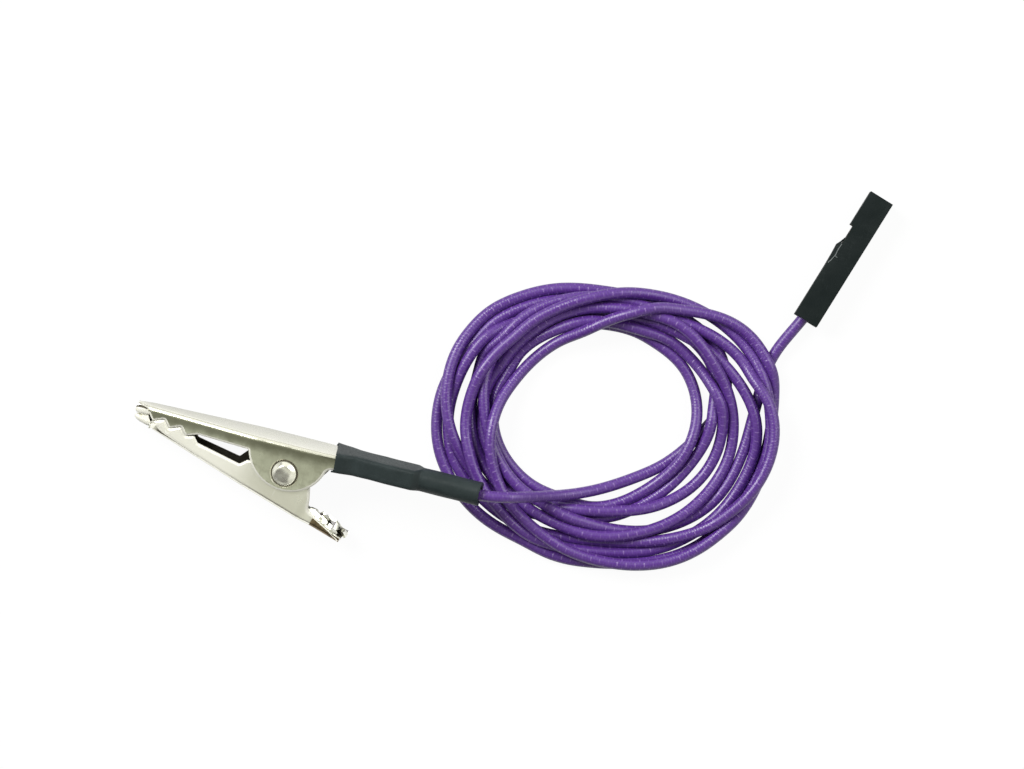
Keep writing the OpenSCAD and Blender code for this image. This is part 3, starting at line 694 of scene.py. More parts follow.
def settled_route(diameter):
    """Lets the turns sink and push each other apart until they lie on each other as wire does."""
    x = smoothed(even(laid_route(diameter), STEP), 10)
    n = len(x)
    home, start = x[:, :2].copy(), x.copy()
    run = np.arange(n) * STEP
    from_sleeve = (SLEEVE_HOLD + HOLD_FADE - run) / HOLD_FADE
    to_housing = (run - run[-1] + (HOUSING_HOLD + HOLD_FADE)) / HOLD_FADE
    held = np.clip(np.maximum(from_sleeve, to_housing), 0.0, 1.0)[:, None]
    radius = np.full(n, diameter / 2)
    radius[run < SLEEVE_HOLD] = settings()[1].sleeve / 2
    for k in range(ROUNDS):
        if k < ROUNDS * SINK_SHARE:
            x[:, 2] -= SINK
        near = (x[1:-3] + x[3:-1] + 0.5 * (x[:-4] + x[4:])) / 3
        x[2:-2] += (near - x[2:-2]) * STRAIGHTEN
        x[:, :2] += KEEP_ROUTE * (home - x[:, :2])
        if k % 10 == 0:
            apart = x[:, None, :] - x[None, :, :]
            i, j = np.where(np.triu((apart ** 2).sum(-1) < (diameter * LOOK) ** 2, 5))
            need = radius[i] + radius[j]
        for _ in range(3):
            line = x[i] - x[j]
            gap = np.sqrt((line ** 2).sum(1)) + 1e-9
            short = np.clip(need - gap, 0, None)
            push = line / gap[:, None] * (short * PUSH)[:, None]
            moved, count = np.zeros_like(x), np.zeros(n)
            np.add.at(moved, i, push)
            np.add.at(moved, j, -push)
            np.add.at(count, i, short > 0)
            np.add.at(count, j, short > 0)
            x += moved / np.maximum(count * 0.6, 1)[:, None]
            x[:, 2] = np.maximum(x[:, 2], diameter / 2)
            x += (start - x) * held
    return smoothed(x, 3)


def build_wire():
    """One woven-sheathed wire from the clip's tail through all its turns into the connector."""
    _, wire, _ = settings()
    route = settled_route(wire.diameter)
    path = [Vector(p) for p in drawn(route, int(len(route) * WIRE_DENSITY))]
    sides = WIRE_SIDES
    obj = ring_object("purple_wire", tube_rings(path, wire.diameter / 2, sides))
    run = np.concatenate([[0.0], np.cumsum([(b - a).length for a, b in zip(path, path[1:])])])
    layer = obj.data.uv_layers.new(name="along_and_round")
    for face in obj.data.polygons:
        ks = [obj.data.loops[i].vertex_index for i in face.loop_indices]
        wraps = max(k % sides for k in ks) - min(k % sides for k in ks) > sides / 2
        for i, k in zip(face.loop_indices, ks):
            turn = k % sides + (sides if wraps and k % sides < sides / 2 else 0)
            layer.data[i].uv = (run[k // sides], turn / sides)
    settle(obj, Matrix.Scale(MM, 4))
    finish_piece(obj, UPPER, "insulation", "sheath", "wire_lead_in", "wire_coil", "wire_lead_out")


# ---- Jaws -----------------------------------------------------------------------------------

# The line where the teeth meet, and the teeth along it and off it
BITE_AT, BITE_TURN = (-12.3, 1.62), math.radians(-8.75)
TOOTH_START, TOOTH_PITCH, TOOTH_DEPTH, TOOTH_STEEP, TOOTH_PLAY = -2.35, 1.8, 0.68, 0.4, 0.08
TEETH = 3
TOOTH_END = TOOTH_START + TEETH * TOOTH_PITCH
TIP_RUN, LAST_ROOT = 0.9, 0.42      # the line's run before the first tooth; height of the last root
# The upper jaw's ear: its middle, and the place and height of its front corner
EAR_AT, EAR_FRONT, EAR_CORNER = (0.05, 2.28), -4.04, 1.44
EAR_SPAN = 3.4                      # how far the full width runs either way from the rivet
# Where the sleeve and the narrow tail start, the tail's depth, and the fillet up to the ear
SLEEVE_START, TAIL_START, TAIL_DEPTH, TAIL_FILLET = 4.3, 6.4, 1.5, 0.7
EAR_WIDTH, TIP_WIDTH, TAIL_WIDTH, TAB_WIDTH = 4.4, 2.0, 2.8, 2.7
NOSE_HALF, NOSE_RUN = 0.35, 1.3     # half the width at the very tip, and its run to the full one
LOWER_NOSE = 0.3                    # how far the lower jaw's tip stays back
NECK_START, NECK_EASE = 5.3, 0.27   # where the ears turn in to the tail, and how far by then
TAB_START, TAB_END = 4.4, 8.2       # the thumb tab
JAW_GAP = 0.1                       # between the two jaws' ears
RIVET_RADIUS, RECESS_RADIUS, RECESS_DEPTH = 0.75, 1.42, 0.12
UPPER_FIT, LOWER_FIT = 0.02, 0.05   # how much wider than the rivet the jaws' holes are
# The lower jaw, in its frame: its inner ear, side windows, rear edge and the tab's low walls
INNER_EAR = 1.9
WINDOW_FRONT, WINDOW_BACK = [(-0.3, -0.02), (0.25, -0.54)], [(-4.28, 1.70), (-3.82, 0.96)]
WINDOW_LIP = 0.1                    # drop of the edge from the last root to the window
WALL_BACK = [(2.83, 0.09), (3.62, 1.7)]
TAB_RIDGE = [(3.85, 1.9), (6.4, 2.42), (7.5, 2.66), (7.74, 2.86)]
# How the far walls differ: further forward behind the ear, further forward at the window's two
# ends, deeper below the lower jaw's ear, nearer the upper jaw's back
FAR_SHIFT, FAR_WINDOW, FAR_SINK, FAR_LIFT = 1.1, (0.48, 0.63), 0.45, 0.4
SAG = 0.38                          # how much deeper the lower jaw's back lies than its frame's
SAG_START, SAG_EASE = -15.6, 2.4    # where that begins, and how far it takes
SAG_DEPTH = 1.4                     # over how much of the wall's height it grows
# The line that stays: two places along and off the line of the teeth, two in the jaw's frame
SAG_AT_TEETH = [(TOOTH_START - 0.8, -0.5), (TOOTH_END + 0.25, -0.65)]
SAG_BEHIND = [(-4.28, 1.85), (-2.5, 0.8)]
SHELL_START = {"upper": 0.12, "lower": 0.75}        # how far behind the tip each sheet starts
LOBE_DROP, LOBE_PROUD = 0.2, 0.02   # how far the tip's lobes lie under its back and stand out
LOBE_HALF, LOBE_POWER = 0.44, 2.7   # half their thickness, and how square they are
CORNER = 0.2                        # how round the corners of a cut edge are
# Section of the rolled-over rim of a cut edge: [in from the edge, below the sheet's outer face]
RIM = [(0.3, 0.002), (0.24, 0.008), (0.17, 0.03), (0.1, 0.058), (0.04, 0.088), (0.0, 0.13),
       (-0.012, 0.2), (0.01, 0.29), (0.07, 0.346), (0.3, 0.348)]
RIM_SEAM = 0.22                     # how far inside the cut edge the shell ends under the rim
RIM_SPREAD = (-9.5, -8.0), (1.3, 0.9)       # how much wider it is at the teeth than behind them
RIM_INSIDE = 0.24                   # how deep in the sheet its inner face begins
EDGE_STEP, ROW_STEP, LEAST_STEP = 0.07, 0.15, 0.015     # spacing along an edge and of the rings
WALL_ROW, BEND_POINTS = 0.45, 9     # row of points below the bend; points round the bend
INWARD, OUTWARD = -0.15, 0.9        # a face that looks further in is inside, with painted shade; further out is wall
# The jaws' finishes: walls, bends, inner faces with painted shade, rims with a painted highlight,
# painted shade on the tab
PLATE, BRIGHT, PAINTED_SHADE, PALE_HIGHLIGHT, TAB_SHADE = range(5)


def bite(s, t):
    """A point of the clip's frame, s along the line where the teeth meet and t above it."""
    c, d = math.cos(BITE_TURN), math.sin(BITE_TURN)
    return (BITE_AT[0] + s * c - t * d, BITE_AT[1] + s * d + t * c)


def tooth_line(t, last):
    """Corners of the teeth from front to back, t off the bite line, and the root behind them."""
    line = [bite(TOOTH_START - TIP_RUN, t + 0.5 * TOOTH_DEPTH)]
    line += [bite(TOOTH_START + (i + end * TOOTH_STEEP) * TOOTH_PITCH,
                  t + (0.5 - end) * TOOTH_DEPTH) for i in range(TEETH) for end in (0, 1)]
    return line + [bite(TOOTH_END, LAST_ROOT * TOOTH_DEPTH + last)]


def to_lower(p):
    """From the clip's frame to the lower jaw's, and back."""
    c, s = math.cos(settings()[0].jaw_angle), math.sin(settings()[0].jaw_angle)
    return (p[0] * c - p[1] * s, -p[0] * s - p[1] * c)


def arc(centre, radius, degrees):
    """Points on an arc."""
    return [(centre[0] + radius * math.cos(a), centre[1] + radius * math.sin(a))
            for a in (math.radians(d) for d in degrees)]


def upper_edge(lift=0.0):
    """Lower edge of an upper jaw's wall from the tip to the tail."""
    clip = settings()[0]
    low = clip.upper_back - TAIL_DEPTH
    corner = EAR_CORNER + lift
    start = 180 + math.degrees(math.asin((EAR_AT[1] - corner) / clip.ear_radius))
    drop = EAR_AT[1] - low + TAIL_FILLET
    reach = clip.ear_radius + TAIL_FILLET
    end = 360 - math.degrees(math.asin(drop / reach))
    ear = arc(EAR_AT, clip.ear_radius, np.linspace(start, end, 72))
    middle = (EAR_AT[0] + math.sqrt(reach ** 2 - drop ** 2), EAR_AT[1] - drop)
    fillet = arc(middle, TAIL_FILLET, np.linspace(end - 180, 90, 10))
    teeth = tooth_line(TOOTH_PLAY / 2, TOOTH_PLAY / 2 + lift * 0.5)
    return softened(teeth + [(EAR_FRONT, corner)] + ear + fillet[1:] + [(clip.tail, low)])


def lower_edge(shift=0.0, sink=0.0, window_shift=(0.0, 0.0)):
    """Open edge of a lower jaw's wall in its own frame, from the tip to the thumb tab's end."""
    teeth = [to_lower(p) for p in tooth_line(-TOOTH_PLAY / 2, -TOOTH_PLAY / 2 - WINDOW_LIP)]
    (s0, t0), (s1, t1) = WINDOW_FRONT
    (x0, y0), (x1, y1) = WINDOW_BACK
    root, end = TOOTH_END - window_shift[0], window_shift[1]
    window = [to_lower(bite(root + s0, t0)), to_lower(bite(root + s1, t1 - sink * 0.25)),
              (x0 - end, y0 + sink * 0.6), (x1 - end, y1), (-INNER_EAR, 0.0)]
    ear = [(x, -y) for x, y in arc((0, 0), INNER_EAR, range(172, 16, -6))]
    back = [(x - shift, y + deeper) for (x, y), deeper in zip(WALL_BACK, (0.0, 1.7 * sink))]
    ridge = [(x, max(y, TAB_RIDGE[0][1] + 1.33 * sink)) for x, y in TAB_RIDGE]
    return softened(teeth[:-1] + window + ear + back + ridge)


def softened(line):
    """A line of corners with its sharp ones rounded."""
    out = [line[0]]
    for a, b, c in zip(line, line[1:], line[2:]):
        before, after = (np.array(v) - np.array(b) for v in (a, c))
        lengths = np.linalg.norm(before), np.linalg.norm(after)
        bend = math.acos(np.clip(-before @ after / (lengths[0] * lengths[1]), -1.0, 1.0))
        if bend < math.radians(15):
            out.append(b)
            continue
        back = min(CORNER * math.tan(bend / 2), min(lengths) * 0.45)
        start, end = b + before / lengths[0] * back, b + after / lengths[1] * back
        out += [tuple((1 - f) ** 2 * start + 2 * f * (1 - f) * np.array(b) + f * f * end)
                for f in np.linspace(0, 1, 6)]
    return out + [line[-1]]


def on_line(line, x):
    """Height of a line of [x, y] corners at x."""
    return float(np.interp(x, *zip(*line)))


def half_width(plan, x):
    """Half the jaw's width at x, with the plan's corners eased."""
    return float(np.mean([on_line(plan, x + d) for d in np.linspace(-0.7, 0.7, 41)]))


def along_edge(line, i):
    """Direction of an evenly spaced edge at its point i."""
    along = line[min(i + 2, len(line) - 1)] - line[max(i - 2, 0)]
    return along / np.linalg.norm(along)


def moved_in(edge, by):
    """A cut edge moved into the sheet, still running back all the way."""
    line = even(np.array(edge), EDGE_STEP)
    along = np.array([along_edge(line, i) for i in range(len(line))])
    moved = line + by * np.column_stack([-along[:, 1], along[:, 0]])
    moved[:, 0] = np.maximum.accumulate(moved[:, 0]) + 1e-6 * np.arange(len(moved))
    return [tuple(p) for p in moved]


def bent_sheet(name, plan, top, edges, first):
    """A jaw of bent sheet: two walls down from a back, cut along an edge line each."""
    clip = settings()[0]
    last = edges[0][-1][0]
    edges = [moved_in(edge, RIM_SEAM) for edge in edges]
    stops = [p[0] for edge in edges for p in edge[::3] if first < p[0] < last]
    xs = np.concatenate([np.arange(first, last, ROW_STEP), stops, [last]])
    xs = sorted(set(np.round(xs, 3)))
    xs = [x for k, x in enumerate(xs) if k == 0 or x - xs[k - 1] > LEAST_STEP]
    wall_top = top - clip.bend
    rings = []
    for x in xs:
        half = half_width(plan, x)
        near, far = (min(on_line(edge, x), wall_top - 0.02) for edge in edges)
        near_row, far_row = (max(wall_top - WALL_ROW, (low + wall_top) / 2)
                             for low in (near, far))
        sheet_faces = []
        for inset in (0.0, clip.sheet):
            r, z = clip.bend - inset, half - inset
            bend = [(x, wall_top + r * math.sin(a), z - r + r * math.cos(a))
                    for a in np.linspace(0, math.pi / 2, BEND_POINTS)]
            sheet_faces.append([(x, near, z), (x, near_row, z)] + bend
                               + [(x, y, -across) for _, y, across in reversed(bend)]
                               + [(x, far_row, -z), (x, far, -z)])
        outer, inner = sheet_faces
        rings.append(outer + inner[::-1])
    n, half_n = len(rings[0]), len(rings[0]) // 2
    faces = skin(rings, "open")
    for base in (0, (len(rings) - 1) * n):
        faces += [(base + k, base + k + 1, base + n - 2 - k, base + n - 1 - k)
                  for k in range(half_n - 1)]
    return mesh_object(name, [p for ring in rings for p in ring], faces)


def tell_finishes(obj, top):
    """Marks an unsettled jaw's faces as flat wall, as bend or edge, or as inside with painted
    shade, like the upper jaw's recess.
    """
    clip = settings()[0]
    for face in obj.data.polygons:
        middle, out = face.center, face.normal.z * math.copysign(1.0, face.center.z)
        under_back = face.normal.y < INWARD and middle.y > top - clip.bend - 0.01
        if out < INWARD or under_back:
            face.material_index = PAINTED_SHADE
        elif out > OUTWARD:
            sunk = middle.to_2d().length < RECESS_RADIUS and abs(middle.z) < EAR_WIDTH / 2 - 0.06
            face.material_index = PAINTED_SHADE if sunk and top == clip.upper_back else PLATE
        else:
            face.material_index = BRIGHT


def all_of(obj, finish):
    """Marks every face of an unsettled piece with one finish."""
    for face in obj.data.polygons:
        face.material_index = finish
    return obj


def flat_walls(obj):
    """Flat shading on a settled jaw's flat walls."""
    for face in obj.data.polygons:
        if face.material_index in (PLATE, TAB_SHADE):
            face.use_smooth = False
    return obj


def rolled_rim(edge, plan, side):
    """The last of the sheet along a cut edge, where stamping and tumbling rolled it over."""
    line = smoothed(even(np.array(edge), EDGE_STEP), 1)
    rings = []
    for i, p in enumerate(line):
        along = along_edge(line, i)
        across = np.array((-along[1], along[0])) * np.interp(p[0], *RIM_SPREAD)
        rings.append([(*(p + across * u), side * (half_width(plan, (p + across * u)[0]) - w))
                      for u, w in RIM])
    # The whole rim is painted pale as a highlight.
    obj = all_of(ring_object("rim", rings), PALE_HIGHLIGHT)
    # The rim's faces deeper in than RIM_INSIDE, on the sheet's inner side, get painted shade.
    for face in obj.data.polygons:
        if half_width(plan, face.center.x) - abs(face.center.z) > RIM_INSIDE:
            face.material_index = PAINTED_SHADE
    return obj


def pebble(centre, size, power, steps):
    """Rings of a smooth closed lump, a superellipsoid."""
    rings = []
    for i in range(1, steps[1]):
        b = -math.pi / 2 + math.pi * i / steps[1]
        wide, high = (signed_power(f(b), 2 / power) for f in (math.cos, math.sin))
        rings.append([(centre[0] + size[0] * wide * signed_power(math.cos(a), 2 / power),
                       centre[1] + size[1] * wide * signed_power(math.sin(a), 2 / power),
                       centre[2] + size[2] * high) for a in turns(steps[0])])
    return rings


def nose_lobes(top, height, back, length):
    """The smooth rounded ends that the walls are pinched into under the back's tip."""
    clip = settings()[0]
    size = (length, height / 2, LOBE_HALF)
    parts = []
    for side in (-1, 1):
        centre = (-clip.reach + back + size[0], top - LOBE_DROP - size[1],
                  side * (TIP_WIDTH / 2 - size[2] + LOBE_PROUD))
        # Each lobe is painted pale as a highlight.
        lobe = all_of(ring_object("lobe", pebble(centre, size, LOBE_POWER, (36, 24))), PALE_HIGHLIGHT)
        # On the upper jaw, lobe faces that look towards its back get painted shade.
        for face in lobe.data.polygons:
            if face.normal.y > 0.4 and top == clip.upper_back:
                face.material_index = PAINTED_SHADE
        parts.append(lobe)
    return parts


def build_upper_jaw():
    """The upper jaw: toothed walls, round ears with a pressed recess, the tail in the sleeve."""
    clip = settings()[0]
    half = EAR_WIDTH / 2
    plan = [(-clip.reach, NOSE_HALF), (-clip.reach + NOSE_RUN, TIP_WIDTH / 2), (-EAR_SPAN, half),
            (EAR_SPAN, half), (NECK_START, half - NECK_EASE), (TAIL_START, TAIL_WIDTH / 2),
            (clip.tail, TAIL_WIDTH / 2)]
    edges = [upper_edge(), upper_edge(FAR_LIFT)]
    first = -clip.reach + SHELL_START["upper"]
    shell = bent_sheet("upper_jaw_sheet", plan, clip.upper_back, edges, first)
    recess = [(RECESS_RADIUS - 0.1, half - RECESS_DEPTH), (RECESS_RADIUS, half),
              (RECESS_RADIUS + 0.08, half + 0.1)]
    for side in (-1, 1):
        cut_round(shell, [(r, side * z) for r, z in recess])
    cut_round(shell, [(RIVET_RADIUS + UPPER_FIT, z) for z in (-3, 3)], 40)
    tell_finishes(shell, clip.upper_back)
    lobe_depth = clip.upper_back - LOBE_DROP - bite(-3.2, 0)[1] + 0.2
    parts = [rolled_rim(edge, plan, side) for edge, side in zip(edges, (1, -1))]
    parts += nose_lobes(clip.upper_back, lobe_depth, back=0.0, length=0.8)
    obj = settle(joined([shell] + parts, "upper_jaw_sheet"), clip_frame(), crease=21.0)
    finish_piece(flat_walls(obj), UPPER, "jaw_metal",
                 "upper_plate bright_nickel inside rubbed_rim", "upper_jaw")


# The tab's crimp wings: at each station [x, depth where the wing leaves the tab's ridge, depth of
# its fold, depth of its free edge, how far that edge is off the middle]
FRONT_WING = [(3.6, 1.88, 1.85, 2.2, 0.5), (4.2, 1.98, 1.8, 2.2, 0.1), (4.9, 2.12, 1.9, 2.4, 0.3),
              (5.6, 2.26, 2.1, 2.3, 0.08), (6.3, 2.4, 2.2, 2.5, 0.3), (7.0, 2.57, 2.4, 2.65, 0.4)]
REAR_WING = [(3.5, 2.5, 2.45, 2.4, 0.5), (4.1, 2.5, 2.3, 2.2, 0.3), (4.8, 2.5, 2.15, 2.3, 0.2),
             (5.6, 2.54, 2.1, 2.1, 0.3), (6.4, 2.58, 2.15, 2.5, 0.1), (7.3, 2.62, 2.3, 2.4, 0.3),
             (8.0, 2.75, 2.5, 2.75, 0.3)]
WING_THICK = 0.22
CRUMPLE = (0.35, 0.42, 0.3)         # how far the wings are pushed along, down and across
TAB_SHADE_FROM = 2.4                    # how deep under the rivet the tab's painted shade begins


def sag(x, y):
    """How much deeper than its frame a point of the lower jaw lies, from edge down to back."""
    low = on_line([to_lower(bite(*p)) for p in SAG_AT_TEETH] + SAG_BEHIND, x)
    run = min(SAG_DEPTH, settings()[0].lower_back - 0.25 - low)
    return SAG * eased((x - SAG_START) / SAG_EASE) * eased((y - low) / run)


def crumpled_wing(stations, side, seed):
    """A crimp wing of the thumb tab, squeezed flat over it and creased."""
    wall = TAB_WIDTH / 2 - 0.04
    table = np.array(stations)
    columns, rows = 13, 7
    points = []
    for x in np.linspace(table[0, 0], table[-1, 0], columns):
        root, fold, edge, off = (np.interp(x, table[:, 0], table[:, k]) for k in (1, 2, 3, 4))
        line = [(root + 0.25, wall - 0.12), (root, wall - 0.1), (fold, wall - 0.36),
                ((fold + edge) / 2, (wall + off) / 2), (edge, off)]
        for k in range(rows):
            f = k / (rows - 1) * (len(line) - 1)
            a, b = line[int(f)], line[min(int(f) + 1, len(line) - 1)]
            y, z = (a[m] + (b[m] - a[m]) * (f - int(f)) for m in (0, 1))
            share = np.clip((k - 1) / 3, 0, 1)
            push = [noise.noise(Vector((x * 2.3, k * 0.9, seed + 3 * m))) * share * most
                    for m, most in enumerate(CRUMPLE)]
            points.append((x + push[0], y + push[1], side * min(z + push[2], wall - 0.05)))
    faces = [(i * rows + k, i * rows + k + 1, (i + 1) * rows + k + 1, (i + 1) * rows + k)
             for i in range(columns - 1) for k in range(rows - 1)]
    obj = mesh_object("wing", points, faces)
    step = obj.modifiers.new("sheet", "SOLIDIFY")
    step.thickness, step.offset = WING_THICK, 0.0
    return all_of(applied(obj), BRIGHT)


def build_lower_jaw():
    """The lower jaw: toothed walls with side windows, ears on the rivet, the creased thumb tab."""
    clip = settings()[0]
    inner_half, tab_half = EAR_WIDTH / 2 - clip.sheet - JAW_GAP, TAB_WIDTH / 2
    plan = [(-clip.reach + LOWER_NOSE, NOSE_HALF),
            (-clip.reach + (LOWER_NOSE + NOSE_RUN), TIP_WIDTH / 2), (-EAR_SPAN, inner_half),
            (EAR_SPAN, inner_half), (TAB_START, tab_half), (TAB_END, tab_half)]
    edges = [lower_edge(), lower_edge(FAR_SHIFT, FAR_SINK, FAR_WINDOW)]
    first = -clip.reach + SHELL_START["lower"]
    shell = bent_sheet("lower_jaw_sheet", plan, clip.lower_back, edges, first)
    cut_round(shell, [(RIVET_RADIUS + LOWER_FIT, z) for z in (-3, 3)], 40)
    tell_finishes(shell, clip.lower_back)
    # Painted shade: the outer face of the thumb tab's wall, from a depth under the rivet on, is
    # coloured dark brown.
    for face in shell.data.polygons:
        x, y, z = face.center
        outside = z > tab_half - clip.bend and face.normal.z > 0.2
        if outside and x > TAB_START + 0.05 and y + sag(x, y) > TAB_SHADE_FROM:
            face.material_index = TAB_SHADE
    parts = [rolled_rim(edge, plan, side) for edge, side in zip(edges, (1, -1))]
    parts += [crumpled_wing(FRONT_WING, 1, 2.0), crumpled_wing(REAR_WING, -1, 7.0)]
    parts += nose_lobes(clip.lower_back + 0.5, TOOTH_DEPTH, back=LOWER_NOSE, length=0.95)
    obj = joined([shell] + parts, "lower_jaw_sheet")
    for vertex in obj.data.vertices:
        vertex.co.y += sag(vertex.co.x, vertex.co.y)
    finish_piece(flat_walls(settle(obj, lower_frame(), crease=24.0)), LOWER, "jaw_metal",
                 "lower_plate bright_nickel inside rubbed_rim stained", "lower_jaw")


# ---- Rivet and spring -----------------------------------------------------------------------

PEEN_TILT, PEEN_RADIUS = 0.2, 0.8   # slope of the flat that the hammer left, and how far it reaches
PEEN_MARKS = 0.07                   # depth of its uneven marks
HEAD_RIM = 0.06                     # the head's outer rim, which no blow reached
# Section of a rivet head: [share of its radius, height over its seat]
HEAD = [(1.0, 0.0), (1.01, 0.08), (0.98, 0.15), (0.94, 0.18), (0.86, 0.235), (0.76, 0.3),
        (0.68, 0.345), (0.6, 0.375), (0.5, 0.39), (0.3, 0.4), (0.12, 0.4)]


def dent(x, y, z):
    """How far the hammer moved a point of a rivet head: a skew flat and its uneven marks."""
    if abs(z) < 1.0:
        return 0.0
    edge = settings()[0].head - HEAD_RIM
    share = np.clip((edge - math.hypot(x, y)) / (edge - PEEN_RADIUS), 0.0, 1.0)
    mark = PEEN_MARKS * noise.noise(Vector((x * 1.1 + 3.0, y * 1.1, z)))
    return share * (PEEN_TILT * y * math.copysign(1, z) + mark)


def build_rivet():
    """The rivet: a shank through both jaws and two domed heads, peened a little flat."""
    seat = EAR_WIDTH / 2 - RECESS_DEPTH
    profile = [(RIVET_RADIUS, seat)] + [(settings()[0].head * r, seat + h) for r, h in HEAD]
    full = [(r, -h) for r, h in reversed(profile)] + [(RIVET_RADIUS, 0.0)] + profile
    rings = [[(x, y, z + dent(x, y, z)) for x, y, z in ring] for ring in turned_rings(full)]
    obj = settle(ring_object("rivet_body", rings), clip_frame(), crease=50.0)
    finish_piece(obj, UPPER, "rivet_metal", "rivet", "pivot_rivet")


SPRING_WIRE, SPRING_TURNS, SPRING_PITCH, SPRING_RADIUS = 0.4, 4, 0.46, 1.15
LEG_SIDE = 0.6                      # how far off the middle each leg lies
LEG_GAP = 0.03                      # between a leg and the sheet that it pushes
UPPER_LEG, LOWER_LEG = 6.2, 3.9     # how far back the legs' ends lie


def build_spring():
    """The torsion spring round the shank, a leg against each jaw's back."""
    clip = settings()[0]
    gap = clip.sheet + LEG_GAP + SPRING_WIRE / 2
    upper = (UPPER_LEG, clip.upper_back - gap)
    lower = to_lower((LOWER_LEG, clip.lower_back - gap + SAG))

    def tangent(p, side):
        """Direction in degrees where a leg that ends at p leaves the coil."""
        off = math.degrees(math.acos(SPRING_RADIUS / math.hypot(*p)))
        return math.degrees(math.atan2(p[1], p[0])) + side * off

    first = tangent(upper, 1)
    sweep = tangent(lower, -1) - first + 360 * (SPRING_TURNS + 1)
    half = sweep / 360 * SPRING_PITCH / 2
    path = [Vector((*upper, -LEG_SIDE))]
    for f in np.linspace(0, 1, 150):
        a = math.radians(first + sweep * f)
        path.append(Vector((SPRING_RADIUS * math.cos(a), SPRING_RADIUS * math.sin(a),
                            half * (2 * f - 1))))
    path.append(Vector((*lower, LEG_SIDE)))
    obj = settle(ring_object("torsion_coil", tube_rings(path, SPRING_WIRE / 2, 12)), clip_frame())
    finish_piece(obj, None, "spring_steel", "spring", "torsion_spring")
    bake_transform(obj)


# ---- Sleeve and what the tail holds ---------------------------------------------------------

SLEEVE_LENGTH, SLEEVE_WALL, SLEEVE_BORE, SLEEVE_HUG = 14.55, 0.2, 1.6, 0.06
WAIST = (0.1, 0.95)                 # where it starts and ends to narrow, behind the tail's end
SQUARE_OUTSIDE, SQUARE_INSIDE, NEARLY_ROUND = 7.0, 14.0, 2.15       # powers of its sections
RAGGED = 0.16                       # how unevenly its mouth was cut
MOUTH_LIP, TAIL_LIP = 0.35, 0.3     # how far along it those cut ends reach
WAVE = 0.035                        # how far its outer face is out of true
# How far its mouth leans back, from its near side through the middle to its far side, how much
# less its lower near corner does, from and to where round it, and how soon that fades
MOUTH_SLANT, CORNER_SLANT, SLANT_FADE = (0.37, 0.1, -0.5), ((-0.7, -0.45), (0.27, 0.0)), 1.2


def build_sleeve():
    """Shrunk tubing over the tail and the first of the wire, creased where it leaves the tail."""
    clip, wire, _ = settings()
    middle = clip.upper_back - TAIL_DEPTH / 2
    end = SLEEVE_START + SLEEVE_LENGTH
    waist = [clip.tail + x for x in WAIST]
    flare = [(EAR_SPAN, EAR_WIDTH / 2), (NECK_START, EAR_WIDTH / 2 - NECK_EASE),
             (TAIL_START, TAIL_WIDTH / 2)]

    def section(x, outside):
        """Half height, half width and squareness of the sleeve at x."""
        over = SLEEVE_HUG + (SLEEVE_WALL if outside else 0.0)
        share = float(eased((x - waist[0]) / (waist[1] - waist[0])))
        round_half = (wire.sleeve if outside else SLEEVE_BORE) / 2
        high, wide = TAIL_DEPTH / 2 + over, on_line(flare, x) + over
        square = SQUARE_OUTSIDE if outside else SQUARE_INSIDE
        return (high + (round_half - high) * share, wide + (round_half - wide) * share,
                square + (NEARLY_ROUND - square) * share ** 0.6)

    def ring(at, outside):
        """The sleeve's section at a distance from the rivet."""
        points = []
        lip = math.exp(-((at - SLEEVE_START) / MOUTH_LIP) ** 2)
        tail_lip = math.exp(-((end - at) / TAIL_LIP) ** 2)
        for a in turns(56, 0.5):
            c, s = math.cos(a), math.sin(a)
            ragged = noise.noise(Vector((c * 2.2, s * 2.2, 4.0))) * RAGGED
            slant = np.interp(signed_power(s, 0.3), (-1.0, 0.0, 1.0), MOUTH_SLANT)
            slant -= np.interp(c, *CORNER_SLANT) * max(0.0, -s)
            x = at + ragged * (lip + 0.6 * tail_lip)
            x += slant * math.exp(-(at - SLEEVE_START) / SLANT_FADE)
            high, wide, power = section(x, outside)
            wave = noise.noise(Vector((x * 0.55, c * 1.4, s * 1.4))) * WAVE if outside else 0.0
            spread = 1 + 0.015 * lip + 0.02 * tail_lip
            points.append((x, middle + (high + wave) * signed_power(c, 2 / power) * spread,
                           -(wide + wave) * signed_power(s, 2 / power) * spread))
        return points

    xs = [*np.linspace(SLEEVE_START, waist[0] - 0.3, 26),
          *np.linspace(waist[0] - 0.1, waist[1] + 0.2, 14), *np.linspace(waist[1] + 0.5, end, 22)]
    rings = [ring(x, True) for x in xs] + [ring(x, False) for x in reversed(xs)]
    obj = rounded(ring_object("shrunk_sleeve", rings, "joined"), 0.05)
    settle(obj, clip_frame(), crease=60.0)
    finish_piece(obj, UPPER, "heat_shrink", "sleeve", "shrink_sleeve")


BUNDLE_RADIUS, BUNDLE_TWISTS = 0.3, 1.4
# The bundles' ends: in the clip's frame along the tail, and in the housing's along the socket
TAIL_STRANDS, SOCKET_STRANDS = ((7.6, 2.0, 0), (11.3, 2.0, 0)), ((3.9, 0, 0.1), (6.2, 0, 0.1))


def twisted_bundle(name, start, end, place, node):
    """Bared strands: six twisted round one, between two points of a piece's frame."""
    strand = BUNDLE_RADIUS / 3
    parts = []
    for k in range(7):
        path = []
        for f in np.linspace(0, 1, 24):
            t = 2 * math.pi * (f * BUNDLE_TWISTS + k / 6)
            off = 0.0 if k == 6 else 2 * strand
            path.append(Vector(start).lerp(Vector(end), f)
                        + Vector((0, off * math.cos(t), off * math.sin(t))))
        parts.append(ring_object("strand", tube_rings(path, strand, 8)))
    finish_piece(settle(joined(parts, name), place), UPPER, "strands", "strand", node)


